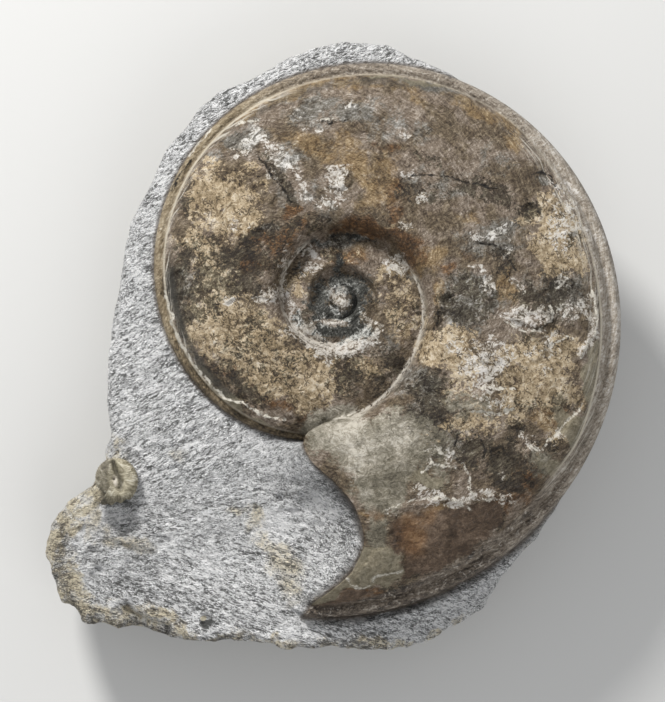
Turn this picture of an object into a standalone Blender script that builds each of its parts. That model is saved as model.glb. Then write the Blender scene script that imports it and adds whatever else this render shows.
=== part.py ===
"""A prepared ammonite fossil: a large shell lying on its side in a lump of grey limestone, and a very
small shell on the left edge of the rock. Z points up, out of the freed face. X points right and Y away,
seen from above. The origin is on the flat spot that the rock rests on, below the axis of the coil.

Turn angles are in degrees, clockwise from +Y seen from above. The last turn of the large shell runs
from 180 to 540, and each turn before it is 360 less."""

import math

import bmesh
import bpy
from mathutils import Vector, geometry, noise

MM = 0.001
FIT_GAP = 0.42  # how far a shell is swelled, in mm, when it cuts its own bed into the rock

# The large shell, in mm.
KEEL_PLANE = 27.0
KEEL_FROM = 180
KEEL_RADII = [30.6, 35.1, 40.5, 46.6, 51.9, 56.9, 61.3, 65.3, 69.5, 73.7]
SEAM_FROM = -540
SEAM_RADII = [
    1.8, 2.2, 2.6, 3.0, 3.3, 3.45, 3.5, 3.7, 4.0, 5.4, 6.5, 7.1, 7.2,
    7.1, 7.5, 8.1, 9.0, 11.1, 12.9, 14.1, 15.1, 15.8, 17.7, 20.1, 25.5,
]
HALF_WIDTH_SHARE = 0.193  # half the whorl's width over the keel radius
INNER_STOUTNESS = 0.35  # how much wider for their size the first whorls are
CORE_WIDTH = 0.6  # the first whorl's width over that of the second
TURN_GROWTH = 2.15
COVERED_FROM = 0.764  # the share of a whorl's height at which the next whorl covers it
EXPOSED_FROM = 180
SHELL_START = -540
CORE_FROM = -180  # before this angle the whorls are only a low core
SHELL_END = 540
MOUTH_BLEND = 504

# The mouth's edge: share of the whorl's height from seam to keel, and turn angle.
MOUTH_EDGE = [
    (0.0, 540), (0.03, 548), (0.06, 551.5), (0.09, 554), (0.115, 555), (0.14, 555), (0.2, 552),
    (0.32, 542), (0.465, 536), (0.61, 534.5), (0.764, 537.5), (0.86, 542), (0.93, 545.5),
    (0.955, 546), (0.975, 546.5), (1.0, 547),
]

# Height of the flank over the keel plane, as a share of half the whorl's width.
FLANK = [
    (0.14, 0.985), (0.2, 1.0), (0.32, 0.99), (0.465, 0.93), (0.61, 0.83), (0.764, 0.67),
    (0.86, 0.5), (0.92, 0.3), (0.942, 0.14), (0.96, 0.17), (0.98, 0.15), (1.0, 0.0),
]
WALL = [(0.0, 0.0), (0.03, 0.5), (0.06, 0.8), (0.09, 0.915), (0.115, 0.965), (0.14, 1.0)]

HOLLOW = (21.9, -0.6, 3.4)  # centre and reach of the hollow beside the umbilicus
HOLLOW_DEPTH = 0.9
LUMP_HEIGHT = 0.42
CORE_SINK = 0.9  # height of the core's seam over that of a seam further out
KNOB = (0.5, 0.1, 1.35)  # the middle of the coil
LOWER_SHARE = 0.93  # the lower face's depth over the upper face's height
CROSSING_REACH = 24  # degrees over which the keel strip leans away from the mouth
CROSSING_LEAN = 15

# The rock's outline from above: corners in mm from the axis of the coil, clockwise from the top.
OUTLINE = [
    (0.0, 57.5), (9.9, 56.7), (14.6, 54.4), (24.0, 50.4), (31.0, 46.0), (37.5, 40.0), (43.5, 33.0),
    (48.5, 25.0), (52.0, 15.0), (54.0, 5.0), (55.4, -5.0), (56.4, -13.0), (56.6, -20.0),
    (56.2, -26.5), (54.7, -32.0), (53.0, -37.2), (49.9, -41.9), (46.9, -46.9), (43.6, -51.9),
    (39.6, -56.5), (35.2, -61.6), (31.6, -68.2), (26.0, -71.8), (20.2, -75.9), (13.6, -76.8),
    (6.8, -77.4), (0.0, -77.1), (-6.8, -76.6), (-13.6, -77.1), (-20.3, -75.9), (-27.7, -76.2),
    (-35.4, -75.7), (-42.4, -73.7), (-49.7, -72.4), (-53.2, -71.9), (-57.0, -71.8), (-59.6, -68.4),
    (-62.1, -66.4), (-63.6, -63.8), (-65.0, -60.0), (-65.6, -54.5), (-65.6, -51.5), (-62.0, -45.0),
    (-58.2, -41.9), (-54.4, -39.6), (-53.0, -36.0), (-51.6, -29.8), (-52.0, -24.2), (-51.6, -13.9),
    (-51.3, -9.2), (-50.7, -4.6), (-49.8, 0.5), (-49.0, 4.2), (-48.4, 8.6), (-46.7, 17.0),
    (-44.9, 21.0), (-42.7, 24.7), (-39.2, 32.8), (-36.4, 36.4), (-33.4, 39.8), (-30.5, 43.6),
    (-26.7, 46.7), (-22.2, 48.0), (-18.2, 50.0), (-14.1, 52.6), (-9.6, 54.6), (-4.9, 56.3),
]
FLAT_SPOT = (38.0, 31.0)  # half lengths of the spot that the rock rests on
FLAT_CENTRE = (1.0, -11.0)

# The rock's upper edge: turn angle, how far it lies inside the outline, and its height, in mm.
ROCK_EDGE = [
    (0, 2.5, 22.6), (20, 2.0, 22.2), (40, 1.5, 24.8), (122, 1.5, 24.8), (130, 3.0, 22.5),
    (150, 3.5, 20.5), (165, 2.5, 21.0), (180, 1.5, 23.4), (200, 1.3, 23.8), (207, 1.8, 22.6),
    (214, 2.6, 22.4), (217, 3.2, 23.8),
    (222, 5.0, 23.4), (230, 4.2, 23.4), (234, 3.0, 24.0), (242, 1.5, 24.4), (270, 1.5, 23.6),
    (300, 1.5, 23.0), (330, 1.6, 23.0), (345, 2.5, 22.5), (360, 2.5, 22.6),
]
ROCK_SINK = 0.7  # how far the rock lies below the keel plane at the shell's edge
NEAR_REACH = 9.0  # the distance over which the rock falls from the shell to its own upper edge
WIDE_REACH = 34.0  # the same at the lower left, between the two angles below
WIDE_FROM = 175
WIDE_TO = 250
ROCK_LUMPS = [(13, 0.5, 3.1), (5, 0.35, 8.4)]  # size, height, and where in the noise they lie
SHELL_SIDE_REACH = 3.0
PIT = (-29.5, -70.6, 3.2, 1.5)  # centre, radius and depth of the pit near the lower edge
FULL_DROP = 27.0

# Rings down the rock: kind, share of the way outwards or inwards, drop out of FULL_DROP, roughness.
ROCK_RINGS = [
    ("edge", 0.0, 0.0, 0.0), ("side", 0.45, 2.6, 0.5), ("side", 0.85, 6.0, 0.9),
    ("side", 1.0, 10.0, 1.0), ("under", 0.07, 15.0, 1.3), ("under", 0.26, 19.5, 1.3),
    ("under", 0.58, 23.0, 0.9), ("under", 0.88, 25.4, 0.3), ("flat", 1.0, 0.0, 0.0),
]
FILL = [(3.9, "rock"), (2.9, "ramp"), (11.0, "shell")]  # spacing of the points that fill the rock's top
FILL_HALF = 90
FILL_ROW = 0.87
MOUTH_ROWS = (0.9, 3.2)  # rows of points along the mouth's edge, by distance from it
RAMP_REACH = 15.0  # how far the rock's ramp runs out of the shell's mouth
RAMP_HEIGHT = [
    (0.14, 2.5), (0.2, 10.5), (0.32, 12.6), (0.465, 12.0), (0.61, 10.7), (0.764, 8.6), (0.86, 6.2),
    (0.92, 3.4), (0.97, 1.6), (1.0, 0.0),
]

# The small shell, in mm.
SMALL_CENTRE = (-50.0, -39.2)
SMALL_LEVEL = 26.0
SMALL_RADIUS = 6.3
SMALL_GROWTH = 0.6  # its radius one turn back from the mouth, over the radius at the mouth
SMALL_MOUTH = 205
SMALL_BROKEN = -5.3  # the line below its centre where the whorl is broken off
SMALL_BROKEN_SLOPE = 0.25
SMALL_CREST = 2.6
SMALL_FLATTER = 0.75
SMALL_DEPTH = 2.3
SMALL_COLUMNS = 36
# Across the whorl, from the middle outwards and under: share of the radius, share of the height.
SMALL_ROWS = [
    (0.16, 0.42), (0.34, 0.18), (0.46, 0.62), (0.58, 0.93), (0.72, 1.0), (0.86, 0.72),
    (0.96, 0.25), (1.0, -0.12), (0.95, -0.62), (0.8, -1.0),
]
SMALL_MIDDLE = 0.62


def mix(a, b, share):
    return a + (b - a) * share


def smooth(low, high, value):
    share = min(max((value - low) / (high - low), 0.0), 1.0)
    return share * share * (3 - 2 * share)


def from_table(first, step, values, angle):
    """A smooth curve through the evenly spaced values."""
    place = (angle - first) / step
    index = min(max(int(math.floor(place)), 0), len(values) - 2)
    share = place - index
    last = len(values) - 1
    before, here, after, beyond = (values[min(max(index + k, 0), last)] for k in (-1, 0, 1, 2))
    return 0.5 * (
        2 * here
        + (after - before) * share
        + (2 * before - 5 * here + 4 * after - beyond) * share**2
        + (3 * here - before - 3 * after + beyond) * share**3
    )


def from_pairs(pairs, value):
    for (low, first), (high, second) in zip(pairs, pairs[1:]):
        if value <= high:
            return mix(first, second, (value - low) / (high - low))
    return pairs[-1][1]


def seam_radius(angle):
    return from_table(SEAM_FROM, 45, SEAM_RADII, angle)


def keel_radius(angle):
    if angle >= KEEL_FROM:
        return from_table(KEEL_FROM, 45, KEEL_RADII, angle)
    return from_table(KEEL_FROM, 45, KEEL_RADII, angle + 360) / TURN_GROWTH


def outer_radius(angle):
    """The seam of the next whorl, or where it would be."""
    if angle <= EXPOSED_FROM:
        return seam_radius(angle + 360)
    return mix(seam_radius(angle), keel_radius(angle), COVERED_FROM)


def radius_at(angle, share):
    if share > COVERED_FROM:
        past = (share - COVERED_FROM) / (1 - COVERED_FROM)
        return mix(outer_radius(angle), keel_radius(angle), past)
    return mix(seam_radius(angle), outer_radius(angle), share / COVERED_FROM)


def half_width(angle):
    if angle >= KEEL_FROM:
        return HALF_WIDTH_SHARE * keel_radius(angle)
    stouter = 1 + INNER_STOUTNESS * smooth(KEEL_FROM, -360, angle)
    narrowed = mix(1, CORE_WIDTH, max(0.0, (CORE_FROM - angle) / 360))
    return HALF_WIDTH_SHARE * keel_radius(max(angle, CORE_FROM)) * stouter * narrowed


def dents(angle, share):
    """The flank's own slight lumps, and the hollow where a chip of shell is gone."""
    x, y = spot(angle, radius_at(angle, share))
    fade = smooth(0.1, 0.25, share) * (1 - smooth(0.8, 0.9, share))
    lumps = noise.noise(Vector((x / 11, y / 11, 4.2))) + 0.5 * noise.noise(Vector((x / 5, y / 5, 7.7)))
    hollow = max(0.0, 1 - math.hypot(x - HOLLOW[0], y - HOLLOW[1]) / HOLLOW[2])
    return fade * LUMP_HEIGHT * lumps - HOLLOW_DEPTH * smooth(0.0, 0.6, hollow)


def rise_at(angle, share):
    """Height of the shell's face over the keel plane."""
    if share >= 0.14:
        return half_width(angle) * from_pairs(FLANK, share) + dents(angle, share)
    foot = half_width(max(angle - 360, SHELL_START)) * from_pairs(FLANK, COVERED_FROM)
    if angle < CORE_FROM:
        foot *= CORE_SINK
    top = half_width(angle) * from_pairs(FLANK, 0.14)
    return mix(foot, top, from_pairs(WALL, share))


def spot(angle, radius):
    turn = math.radians(angle)
    return radius * math.sin(turn), radius * math.cos(turn)


def mouth_angle(share):
    return from_pairs(MOUTH_EDGE, share)


def face_point(angle, share):
    x, y = spot(angle, radius_at(angle, share))
    return x, y, rise_at(angle, share)


def last_angle(column, share):
    """Turn angle of a column, bent near the end so that the last one follows the mouth's edge."""
    if column <= MOUTH_BLEND:
        return column
    bend = (column - MOUTH_BLEND) / (SHELL_END - MOUTH_BLEND)
    return MOUTH_BLEND + bend * (mouth_angle(share) - MOUTH_BLEND)


UPPER_INNER = [0.0, 0.06, 0.14, 0.32, 0.54]
UPPER_LAST = [0.0, 0.03, 0.06, 0.09, 0.115, 0.14, 0.2, 0.32, 0.465, 0.61]
UPPER_OUTER = [COVERED_FROM, 0.86, 0.92, 0.942, 0.97, 1.0]
LOWER_INNER = [0.0, 0.14, 0.4]
LOWER_LAST = [0.0, 0.06, 0.14, 0.32, 0.61]
LOWER_OUTER = [COVERED_FROM, 0.92, 1.0]


class ShellMesh:
    """Points and faces of the large shell, built in columns across the whorl."""

    def __init__(self):
        self.points = []
        self.faces = []

    def add(self, x, y, z):
        self.points.append((x, y, z))
        return len(self.points) - 1

    def band(self, left, right, extra, flip):
        """Fills the strip between two columns of (share, point). Extra points lie on the outer edge."""
        i = 0
        j = 0
        while i < len(left) - 2 or j < len(right) - 2:
            step_left = i < len(left) - 2 and (
                j >= len(right) - 2 or left[i + 1][0] <= right[j + 1][0] + 1e-9
            )
            if step_left:
                self.face([left[i][1], left[i + 1][1], right[j][1]], flip)
                i += 1
            else:
                self.face([left[i][1], right[j + 1][1], right[j][1]], flip)
                j += 1
        rim = [left[-1][1], *extra, right[-1][1], right[-2][1]]
        for a, b in zip(rim, rim[1:]):
            self.face([left[-2][1], a, b], flip)

    def face(self, corners, flip):
        if len(set(corners)) == len(corners):
            self.faces.append(corners[::-1] if flip else corners)


def side_of_shell(mesh, side, keel_points):
    """One face of the shell, upper (side 1) or lower (side -1). Returns the rows at the mouth."""
    coarse = list(range(SHELL_START, CORE_FROM, 12))
    fine = list(range(CORE_FROM, SHELL_END + 1, 6))
    columns = coarse + fine
    deep = 1 if side > 0 else LOWER_SHARE
    inner = UPPER_INNER if side > 0 else LOWER_INNER
    last = UPPER_LAST if side > 0 else LOWER_LAST
    outer = UPPER_OUTER if side > 0 else LOWER_OUTER

    def place(angle, share):
        x, y, z = face_point(angle, share)
        return mesh.add(x, y, z * side * deep)

    seams = {}
    for column in columns:
        seams[column] = place(column, 0.0)
    edge = {}
    for column in columns:
        if column + 360 in seams:
            edge[column] = seams[column + 360]
        else:
            edge[column] = place(column, COVERED_FROM)
    rows = {}
    for column in columns:
        shares = last if column >= EXPOSED_FROM else inner
        row = [(0.0, seams[column])]
        for share in shares[1:]:
            row.append((share, place(last_angle(column, share), share)))
        row.append((COVERED_FROM, edge[column]))
        if column == SHELL_END:
            row[-1] = (COVERED_FROM, place(mouth_angle(COVERED_FROM), COVERED_FROM))
        elif column > MOUTH_BLEND:
            x, y, z = face_point(last_angle(column, COVERED_FROM), COVERED_FROM)
            mesh.points[edge[column]] = (x, y, z * side * deep)
        rows[column] = row
    for left, right in zip(columns, columns[1:]):
        extra = [seams[a + 360] for a in range(left + 6, right, 6) if a + 360 in seams]
        mesh.band(rows[left], rows[right], extra, side < 0)

    # The outer strip, from the line where the next whorl would start out to the keel.
    outer_columns = list(range(EXPOSED_FROM, SHELL_END + 1, 6))
    crossing = [s for s in last if 0 < s <= 0.14]
    strips = {}
    for column in outer_columns:
        strip = [(COVERED_FROM, rows[column][-1][1])]
        if column == EXPOSED_FROM:
            for number, share in enumerate(crossing):
                x, y = spot(mouth_angle(share), radius_at(mouth_angle(share), share))
                radius = math.hypot(x, y)
                turn = mouth_angle(share) - 360
                low = outer_radius(turn)
                high = keel_radius(turn)
                past = min((radius - low) / (high - low), 1.0)
                if number == len(crossing) - 1:
                    past = 1.0
                    x, y = spot(turn, high)
                rise = rise_at(turn, mix(COVERED_FROM, 1.0, past)) * side * deep
                if number == len(crossing) - 1:
                    point = keel_points.setdefault(column, mesh.add(x, y, 0.0))
                else:
                    point = mesh.add(x, y, rise)
                strip.append((mix(COVERED_FROM, 1.0, past), point))
        else:
            shift = max(0.0, 1 - (column - EXPOSED_FROM) / CROSSING_REACH)
            for share in outer[1:]:
                along = (share - COVERED_FROM) / (1 - COVERED_FROM)
                angle = last_angle(column, share)
                angle += shift * CROSSING_LEAN * math.sqrt(along)
                if share < 1:
                    strip.append((share, place(angle, share)))
                    continue
                if column not in keel_points:
                    x, y = spot(angle, keel_radius(angle))
                    keel_points[column] = mesh.add(x, y, 0.0)
                strip.append((share, keel_points[column]))
        strips[column] = strip
    for left, right in zip(outer_columns, outer_columns[1:]):
        mesh.band(strips[left], strips[right], [], side < 0)

    # The middle of the coil.
    knob = mesh.add(KNOB[0], KNOB[1], side * deep * KNOB[2])
    ring = [seams[a] for a in coarse] + [seams[CORE_FROM]]
    ring += [point for _, point in reversed(rows[SHELL_START][1:-1])]
    for a, b in zip(ring, ring[1:] + ring[:1]):
        mesh.face([knob, a, b], side > 0)
    return rows[SHELL_END], strips[SHELL_END], strips[EXPOSED_FROM]


def close_mouth(mesh, upper, lower):
    """The wall of the mouth: upright, from the upper face to the lower one or to the inner whorl."""
    for (row, strip, crossed), flip in ((upper, False), (lower, True)):
        under = [point for _, point in crossed]
        over = [point for _, point in row if _ <= 0.14]
        # The seam is one point. Above it the wall stands on the inner whorl's face.
        for k in range(len(over) - 1):
            low_here = over[0] if k == 0 else under[k]
            mesh.face([over[k], over[k + 1], under[k + 1]], flip)
            if k > 0:
                mesh.face([over[k], under[k + 1], low_here], flip)
    keel_inner = upper[2][-1][1]
    tops = [p for p in upper[0] if p[0] >= 0.14] + upper[1][1:]
    bottoms = [p for p in lower[0] if p[0] >= 0.14] + lower[1][1:]
    i = 0
    j = 0
    mesh.face([tops[0][1], bottoms[0][1], keel_inner], True)
    while i < len(tops) - 1 or j < len(bottoms) - 1:
        if i < len(tops) - 1 and (
            j >= len(bottoms) - 1 or tops[i + 1][0] <= bottoms[j + 1][0] + 1e-9
        ):
            mesh.face([tops[i][1], tops[i + 1][1], bottoms[j][1]], False)
            i += 1
        else:
            mesh.face([tops[i][1], bottoms[j + 1][1], bottoms[j][1]], False)
            j += 1


def large_shell():
    mesh = ShellMesh()
    keel_points = {}
    upper = side_of_shell(mesh, 1, keel_points)
    lower = side_of_shell(mesh, -1, keel_points)
    close_mouth(mesh, upper, lower)
    points = [(x, y, z + KEEL_PLANE) for x, y, z in mesh.points]
    return points, mesh.faces


def make_object(name, points, faces):
    data = bpy.data.meshes.new(name)
    data.from_pydata([(x * MM, y * MM, z * MM) for x, y, z in points], [], faces)
    work = bmesh.new()
    work.from_mesh(data)
    loose = [v for v in work.verts if not v.link_faces]
    bmesh.ops.delete(work, geom=loose, context="VERTS")
    bmesh.ops.recalc_face_normals(work, faces=work.faces)
    work.to_mesh(data)
    work.free()
    data.update()
    made = bpy.data.objects.new(name, data)
    bpy.context.scene.collection.objects.link(made)
    return made


def outline_points(step):
    """The rock's outline cut into even steps."""
    corners = [Vector(p) for p in OUTLINE]
    loop = corners + corners[:1]
    lengths = [(b - a).length for a, b in zip(loop, loop[1:])]
    total = sum(lengths)
    count = round(total / step)
    points = []
    index = 0
    passed = 0.0
    for k in range(count):
        target = total * k / count
        while passed + lengths[index] < target:
            passed += lengths[index]
            index += 1
        share = (target - passed) / lengths[index]
        points.append(loop[index].lerp(loop[index + 1], share))
    return points


def turn_of(x, y):
    return math.degrees(math.atan2(x, y)) % 360


def inward_normals(points):
    """The outline runs clockwise, so its inside is on the right."""
    count = len(points)
    normals = []
    for k in range(count):
        along = points[(k + 2) % count] - points[k - 2]
        normals.append(Vector((along.y, -along.x)).normalized())
    return normals


def mouth_points():
    """Points along the mouth's edge where it stands on rock, with the share of the whorl's height."""
    made = []
    for k in range(25):
        share = mix(0.14, 1.0, k / 24)
        x, y = spot(mouth_angle(share), radius_at(mouth_angle(share), share))
        made.append((share, Vector((x, y))))
    return made


MOUTH = mouth_points()


def mouth_distance(x, y):
    """Distance from the mouth's edge, the share of the nearest point on it, and which side: 1 is open."""
    here = Vector((x, y))
    nearest = min(range(len(MOUTH)), key=lambda k: (MOUTH[k][1] - here).length_squared)
    low = max(nearest - 1, 0)
    high = min(nearest + 1, len(MOUTH) - 1)
    along = MOUTH[high][1] - MOUTH[low][1]
    off = here - MOUTH[nearest][1]
    side = 1 if along.x * off.y - along.y * off.x < 0 else -1
    return off.length, MOUTH[nearest][0], side


def outer_keel(x, y):
    """How far outside the shell's keel a spot is."""
    turn = turn_of(x, y)
    radius = math.hypot(x, y)
    if turn < 187:
        turn += 360
    return radius - keel_radius(turn)


def edge_values(x, y):
    turn = turn_of(x, y)
    inset = from_pairs([(a, b) for a, b, _ in ROCK_EDGE], turn)
    level = from_pairs([(a, c) for a, _, c in ROCK_EDGE], turn)
    return inset, level


def rock_top(x, y):
    """Height of the rock's upper face."""
    away = outer_keel(x, y)
    _, level = edge_values(x, y)
    turn = turn_of(x, y)
    reach = WIDE_REACH if WIDE_FROM <= turn <= WIDE_TO else NEAR_REACH
    rise = mix(KEEL_PLANE - ROCK_SINK, level, smooth(0.0, reach, away))
    for size, lump, seed in ROCK_LUMPS:
        rise += lump * noise.noise(Vector((x / size, y / size, seed)))
    distance, share, side = mouth_distance(x, y)
    height = from_pairs(RAMP_HEIGHT, share)
    if side > 0:
        rise += height * max(0.0, 1 - distance / RAMP_REACH) ** 2
    else:
        rise += height * max(0.0, 1 - distance / SHELL_SIDE_REACH)
    pit_x, pit_y, pit_radius, pit_depth = PIT
    rise -= pit_depth * max(0.0, 1 - math.hypot(x - pit_x, y - pit_y) / pit_radius)
    return rise


def rock_points():
    """Points and faces of the rock before the shells' beds are cut."""
    rim = outline_points(3.3)
    normals = inward_normals(rim)
    count = len(rim)
    points = []
    loops = []

    def rough(place, scale, seed):
        return noise.noise(Vector((place.x / scale, place.y / scale, seed)))

    top_edge = []
    for place, normal in zip(rim, normals):
        inset, _ = edge_values(place.x, place.y)
        top_edge.append(place + normal * inset)
    base = []
    for place in rim:
        turn = math.atan2(place.y - FLAT_CENTRE[1], place.x - FLAT_CENTRE[0])
        wave = 1 + 0.05 * math.sin(3 * turn + 1) + 0.04 * math.sin(5 * turn)
        base.append(
            Vector(
                (
                    FLAT_CENTRE[0] + FLAT_SPOT[0] * wave * math.cos(turn),
                    FLAT_CENTRE[1] + FLAT_SPOT[1] * wave * math.sin(turn),
                )
            )
        )
    for kind, share, drop, roughness in ROCK_RINGS:
        loop = []
        for k in range(count):
            place = rim[k]
            _, level = edge_values(place.x, place.y)
            if kind == "edge":
                spot_here = top_edge[k]
                z = rock_top(spot_here.x, spot_here.y)
            elif kind == "side":
                spot_here = top_edge[k].lerp(place, share)
                z = level * (1 - drop / FULL_DROP) - 0.6 + 1.1 * rough(spot_here, 7, 2.0 + drop)
            elif kind == "under":
                spot_here = place.lerp(base[k], share)
                z = level * (1 - drop / FULL_DROP) + 2.2 * rough(spot_here, 11, 5.0)
                z = max(z + 1.3 * rough(spot_here, 5, 7.0), 0.7)
            else:
                spot_here = base[k]
                z = 0.0
            push = roughness * (
                rough(spot_here, 9, 1.0 + drop / 6) + 0.6 * rough(spot_here, 4, 9.0 + drop)
            )
            if kind == "side" and share > 0.9:
                push = abs(push) * 0.35
            spot_here = spot_here + normals[k] * push
            points.append((spot_here.x, spot_here.y, z))
            loop.append(len(points) - 1)
        loops.append(loop)
    faces = []
    for upper, lower in zip(loops, loops[1:]):
        for k in range(count):
            nxt = (k + 1) % count
            faces.append([upper[k], lower[k], lower[nxt]])
            faces.append([upper[k], lower[nxt], upper[nxt]])

    # The flat spot is one face. The top is filled with a loose grid, closer on the ramp.
    faces.append(list(reversed(loops[-1])))
    flat = [Vector(points[i][:2]) for i in loops[0]]
    inside = []
    for spacing, wanted in FILL:
        half = int(FILL_HALF / spacing)
        for i in range(-half, half + 1):
            for j in range(-half, half + 1):
                x = (i + 0.5 * (j % 2)) * spacing + 0.5 * noise.noise(Vector((i * 1.7, j * 2.3, 1)))
                y = j * spacing * FILL_ROW + 0.5 * noise.noise(Vector((i * 2.1, j * 1.3, 5)))
                here = Vector((x, y))
                away = outer_keel(x, y)
                distance, share, side = mouth_distance(x, y)
                near_ramp = side > 0 and distance < RAMP_REACH + 1 and 0.145 < share < 0.99
                kind = "ramp" if near_ramp and distance > 1.5 else "rock" if away > -2 else "shell"
                if kind == "shell" and away > -5 or kind == "rock" and near_ramp:
                    continue
                if kind != wanted or distance < 4.5 and kind == "shell":
                    continue
                closest = min((p - here).length for p in flat)
                if closest < 0.55 * min(spacing, 4) or not in_loop(here, flat):
                    continue
                inside.append(here)
    for index in range(1, len(MOUTH) - 1):
        along = (MOUTH[index + 1][1] - MOUTH[index - 1][1]).normalized()
        for offset in MOUTH_ROWS:
            inside.append(MOUTH[index][1] + Vector((-along.y, along.x)) * offset)
    kept = flat + inside
    result = geometry.delaunay_2d_cdt(kept, [], [list(range(len(flat)))], 1, 1e-5)
    placed, _, triangles, origins = result[0], result[1], result[2], result[3]
    lookup = []
    for k, here in enumerate(placed):
        source = origins[k][0]
        if source < len(flat):
            lookup.append(loops[0][source])
            continue
        points.append((here.x, here.y, rock_top(here.x, here.y)))
        lookup.append(len(points) - 1)
    for triangle in triangles:
        faces.append([lookup[i] for i in triangle])
    return points, faces


def in_loop(here, loop):
    """True inside the closed loop of points."""
    crossings = 0
    for a, b in zip(loop, loop[1:] + loop[:1]):
        if (a.y > here.y) != (b.y > here.y):
            x = a.x + (here.y - a.y) / (b.y - a.y) * (b.x - a.x)
            crossings += x > here.x
    return crossings % 2 == 1


def small_shell():
    """A short thick whorl, seen from its side, with its mouth at the lower left, where it is broken."""
    points = [(0.0, 0.0, SMALL_MIDDLE), (0.0, 0.0, -SMALL_DEPTH)]
    rings = []
    for share, height in SMALL_ROWS:
        ring = []
        for k in range(SMALL_COLUMNS):
            turn = 360 * k / SMALL_COLUMNS
            back = ((SMALL_MOUTH - turn) % 360) / 360
            size = SMALL_GROWTH**back
            x, y = spot(turn, SMALL_RADIUS * size * share)
            broken = SMALL_BROKEN + SMALL_BROKEN_SLOPE * x
            if y < broken:
                y = mix(broken, y, 0.15)
            crest = SMALL_CREST * size * math.exp(-SMALL_FLATTER * back)
            z = height * (crest if height > 0 else SMALL_DEPTH)
            points.append((x, y, z))
            ring.append(len(points) - 1)
        rings.append(ring)
    faces = []
    for inner, outer in zip(rings, rings[1:]):
        for k in range(SMALL_COLUMNS):
            nxt = (k + 1) % SMALL_COLUMNS
            faces.append([inner[k], outer[k], outer[nxt]])
            faces.append([inner[k], outer[nxt], inner[nxt]])
    for k in range(SMALL_COLUMNS):
        nxt = (k + 1) % SMALL_COLUMNS
        faces.append([0, rings[0][k], rings[0][nxt]])
        faces.append([1, rings[-1][nxt], rings[-1][k]])
    placed = [(x + SMALL_CENTRE[0], y + SMALL_CENTRE[1], z + SMALL_LEVEL) for x, y, z in points]
    return placed, faces


def swelled(name, source, amount):
    """A copy of a shell, pushed out along its normals, that cuts its bed into the rock."""
    work = bmesh.new()
    work.from_mesh(source.data)
    work.normal_update()
    normals = [v.normal.copy() for v in work.verts]
    for vert, normal in zip(work.verts, normals):
        vert.co += normal * amount * MM
    data = bpy.data.meshes.new(name)
    work.to_mesh(data)
    work.free()
    made = bpy.data.objects.new(name, data)
    bpy.context.scene.collection.objects.link(made)
    made.hide_render = True
    made.display_type = "WIRE"
    return made


def cut(target, cutter):
    modifier = target.modifiers.new("bed_" + cutter.name, "BOOLEAN")
    modifier.operation = "DIFFERENCE"
    modifier.solver = "EXACT"
    modifier.object = cutter


def clear_scene():
    for item in list(bpy.data.objects):
        bpy.data.objects.remove(item, do_unlink=True)


clear_scene()
shell_points, shell_faces = large_shell()
shell = make_object("large_ammonite", shell_points, shell_faces)
small_points, small_faces = small_shell()
small = make_object("small_ammonite", small_points, small_faces)
stone_points, stone_faces = rock_points()
stone = make_object("matrix_stone", stone_points, stone_faces)
cut(stone, swelled("large_bed", shell, FIT_GAP))
cut(stone, swelled("small_bed", small, FIT_GAP))
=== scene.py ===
# %% [markdown]
# This script dresses a fossil ammonite that lies in grey limestone. The plain solids come from the packed CAD
# model, and a finer mesh, worked out from the same sizes, stands in for each.

# %% load the frame
import math

import bpy
import numpy as np
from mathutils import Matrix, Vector, geometry, noise


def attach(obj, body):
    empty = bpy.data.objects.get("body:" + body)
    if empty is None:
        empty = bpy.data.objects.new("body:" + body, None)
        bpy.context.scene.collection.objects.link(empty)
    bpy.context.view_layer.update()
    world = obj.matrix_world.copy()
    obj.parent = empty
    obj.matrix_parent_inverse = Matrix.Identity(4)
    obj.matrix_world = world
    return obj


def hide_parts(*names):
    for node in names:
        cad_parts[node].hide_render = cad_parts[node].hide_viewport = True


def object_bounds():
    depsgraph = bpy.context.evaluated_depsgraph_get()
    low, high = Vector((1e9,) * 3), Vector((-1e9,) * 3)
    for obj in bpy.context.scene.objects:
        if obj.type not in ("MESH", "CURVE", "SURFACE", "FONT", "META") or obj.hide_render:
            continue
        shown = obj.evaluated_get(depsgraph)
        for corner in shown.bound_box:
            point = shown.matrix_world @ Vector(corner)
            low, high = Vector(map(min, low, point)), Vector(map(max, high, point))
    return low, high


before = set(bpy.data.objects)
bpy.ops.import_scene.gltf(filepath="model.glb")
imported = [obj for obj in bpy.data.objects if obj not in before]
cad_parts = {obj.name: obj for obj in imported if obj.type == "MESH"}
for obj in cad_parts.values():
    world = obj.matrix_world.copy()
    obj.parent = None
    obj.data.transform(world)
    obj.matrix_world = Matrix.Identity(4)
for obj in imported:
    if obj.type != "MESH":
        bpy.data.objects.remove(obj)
cad_low, cad_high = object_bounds()
print("nodes:", ", ".join(sorted(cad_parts)))

# %% [markdown]
# The shell is a spiral, so almost every size hangs on the turn angle, in degrees clockwise from +Y. The last
# turn runs from 180 to 540. Radii 45 degrees apart give the seam between whorls and the keel outside. A share
# from 0 at the seam to 1 at the keel says where a point is.

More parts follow.
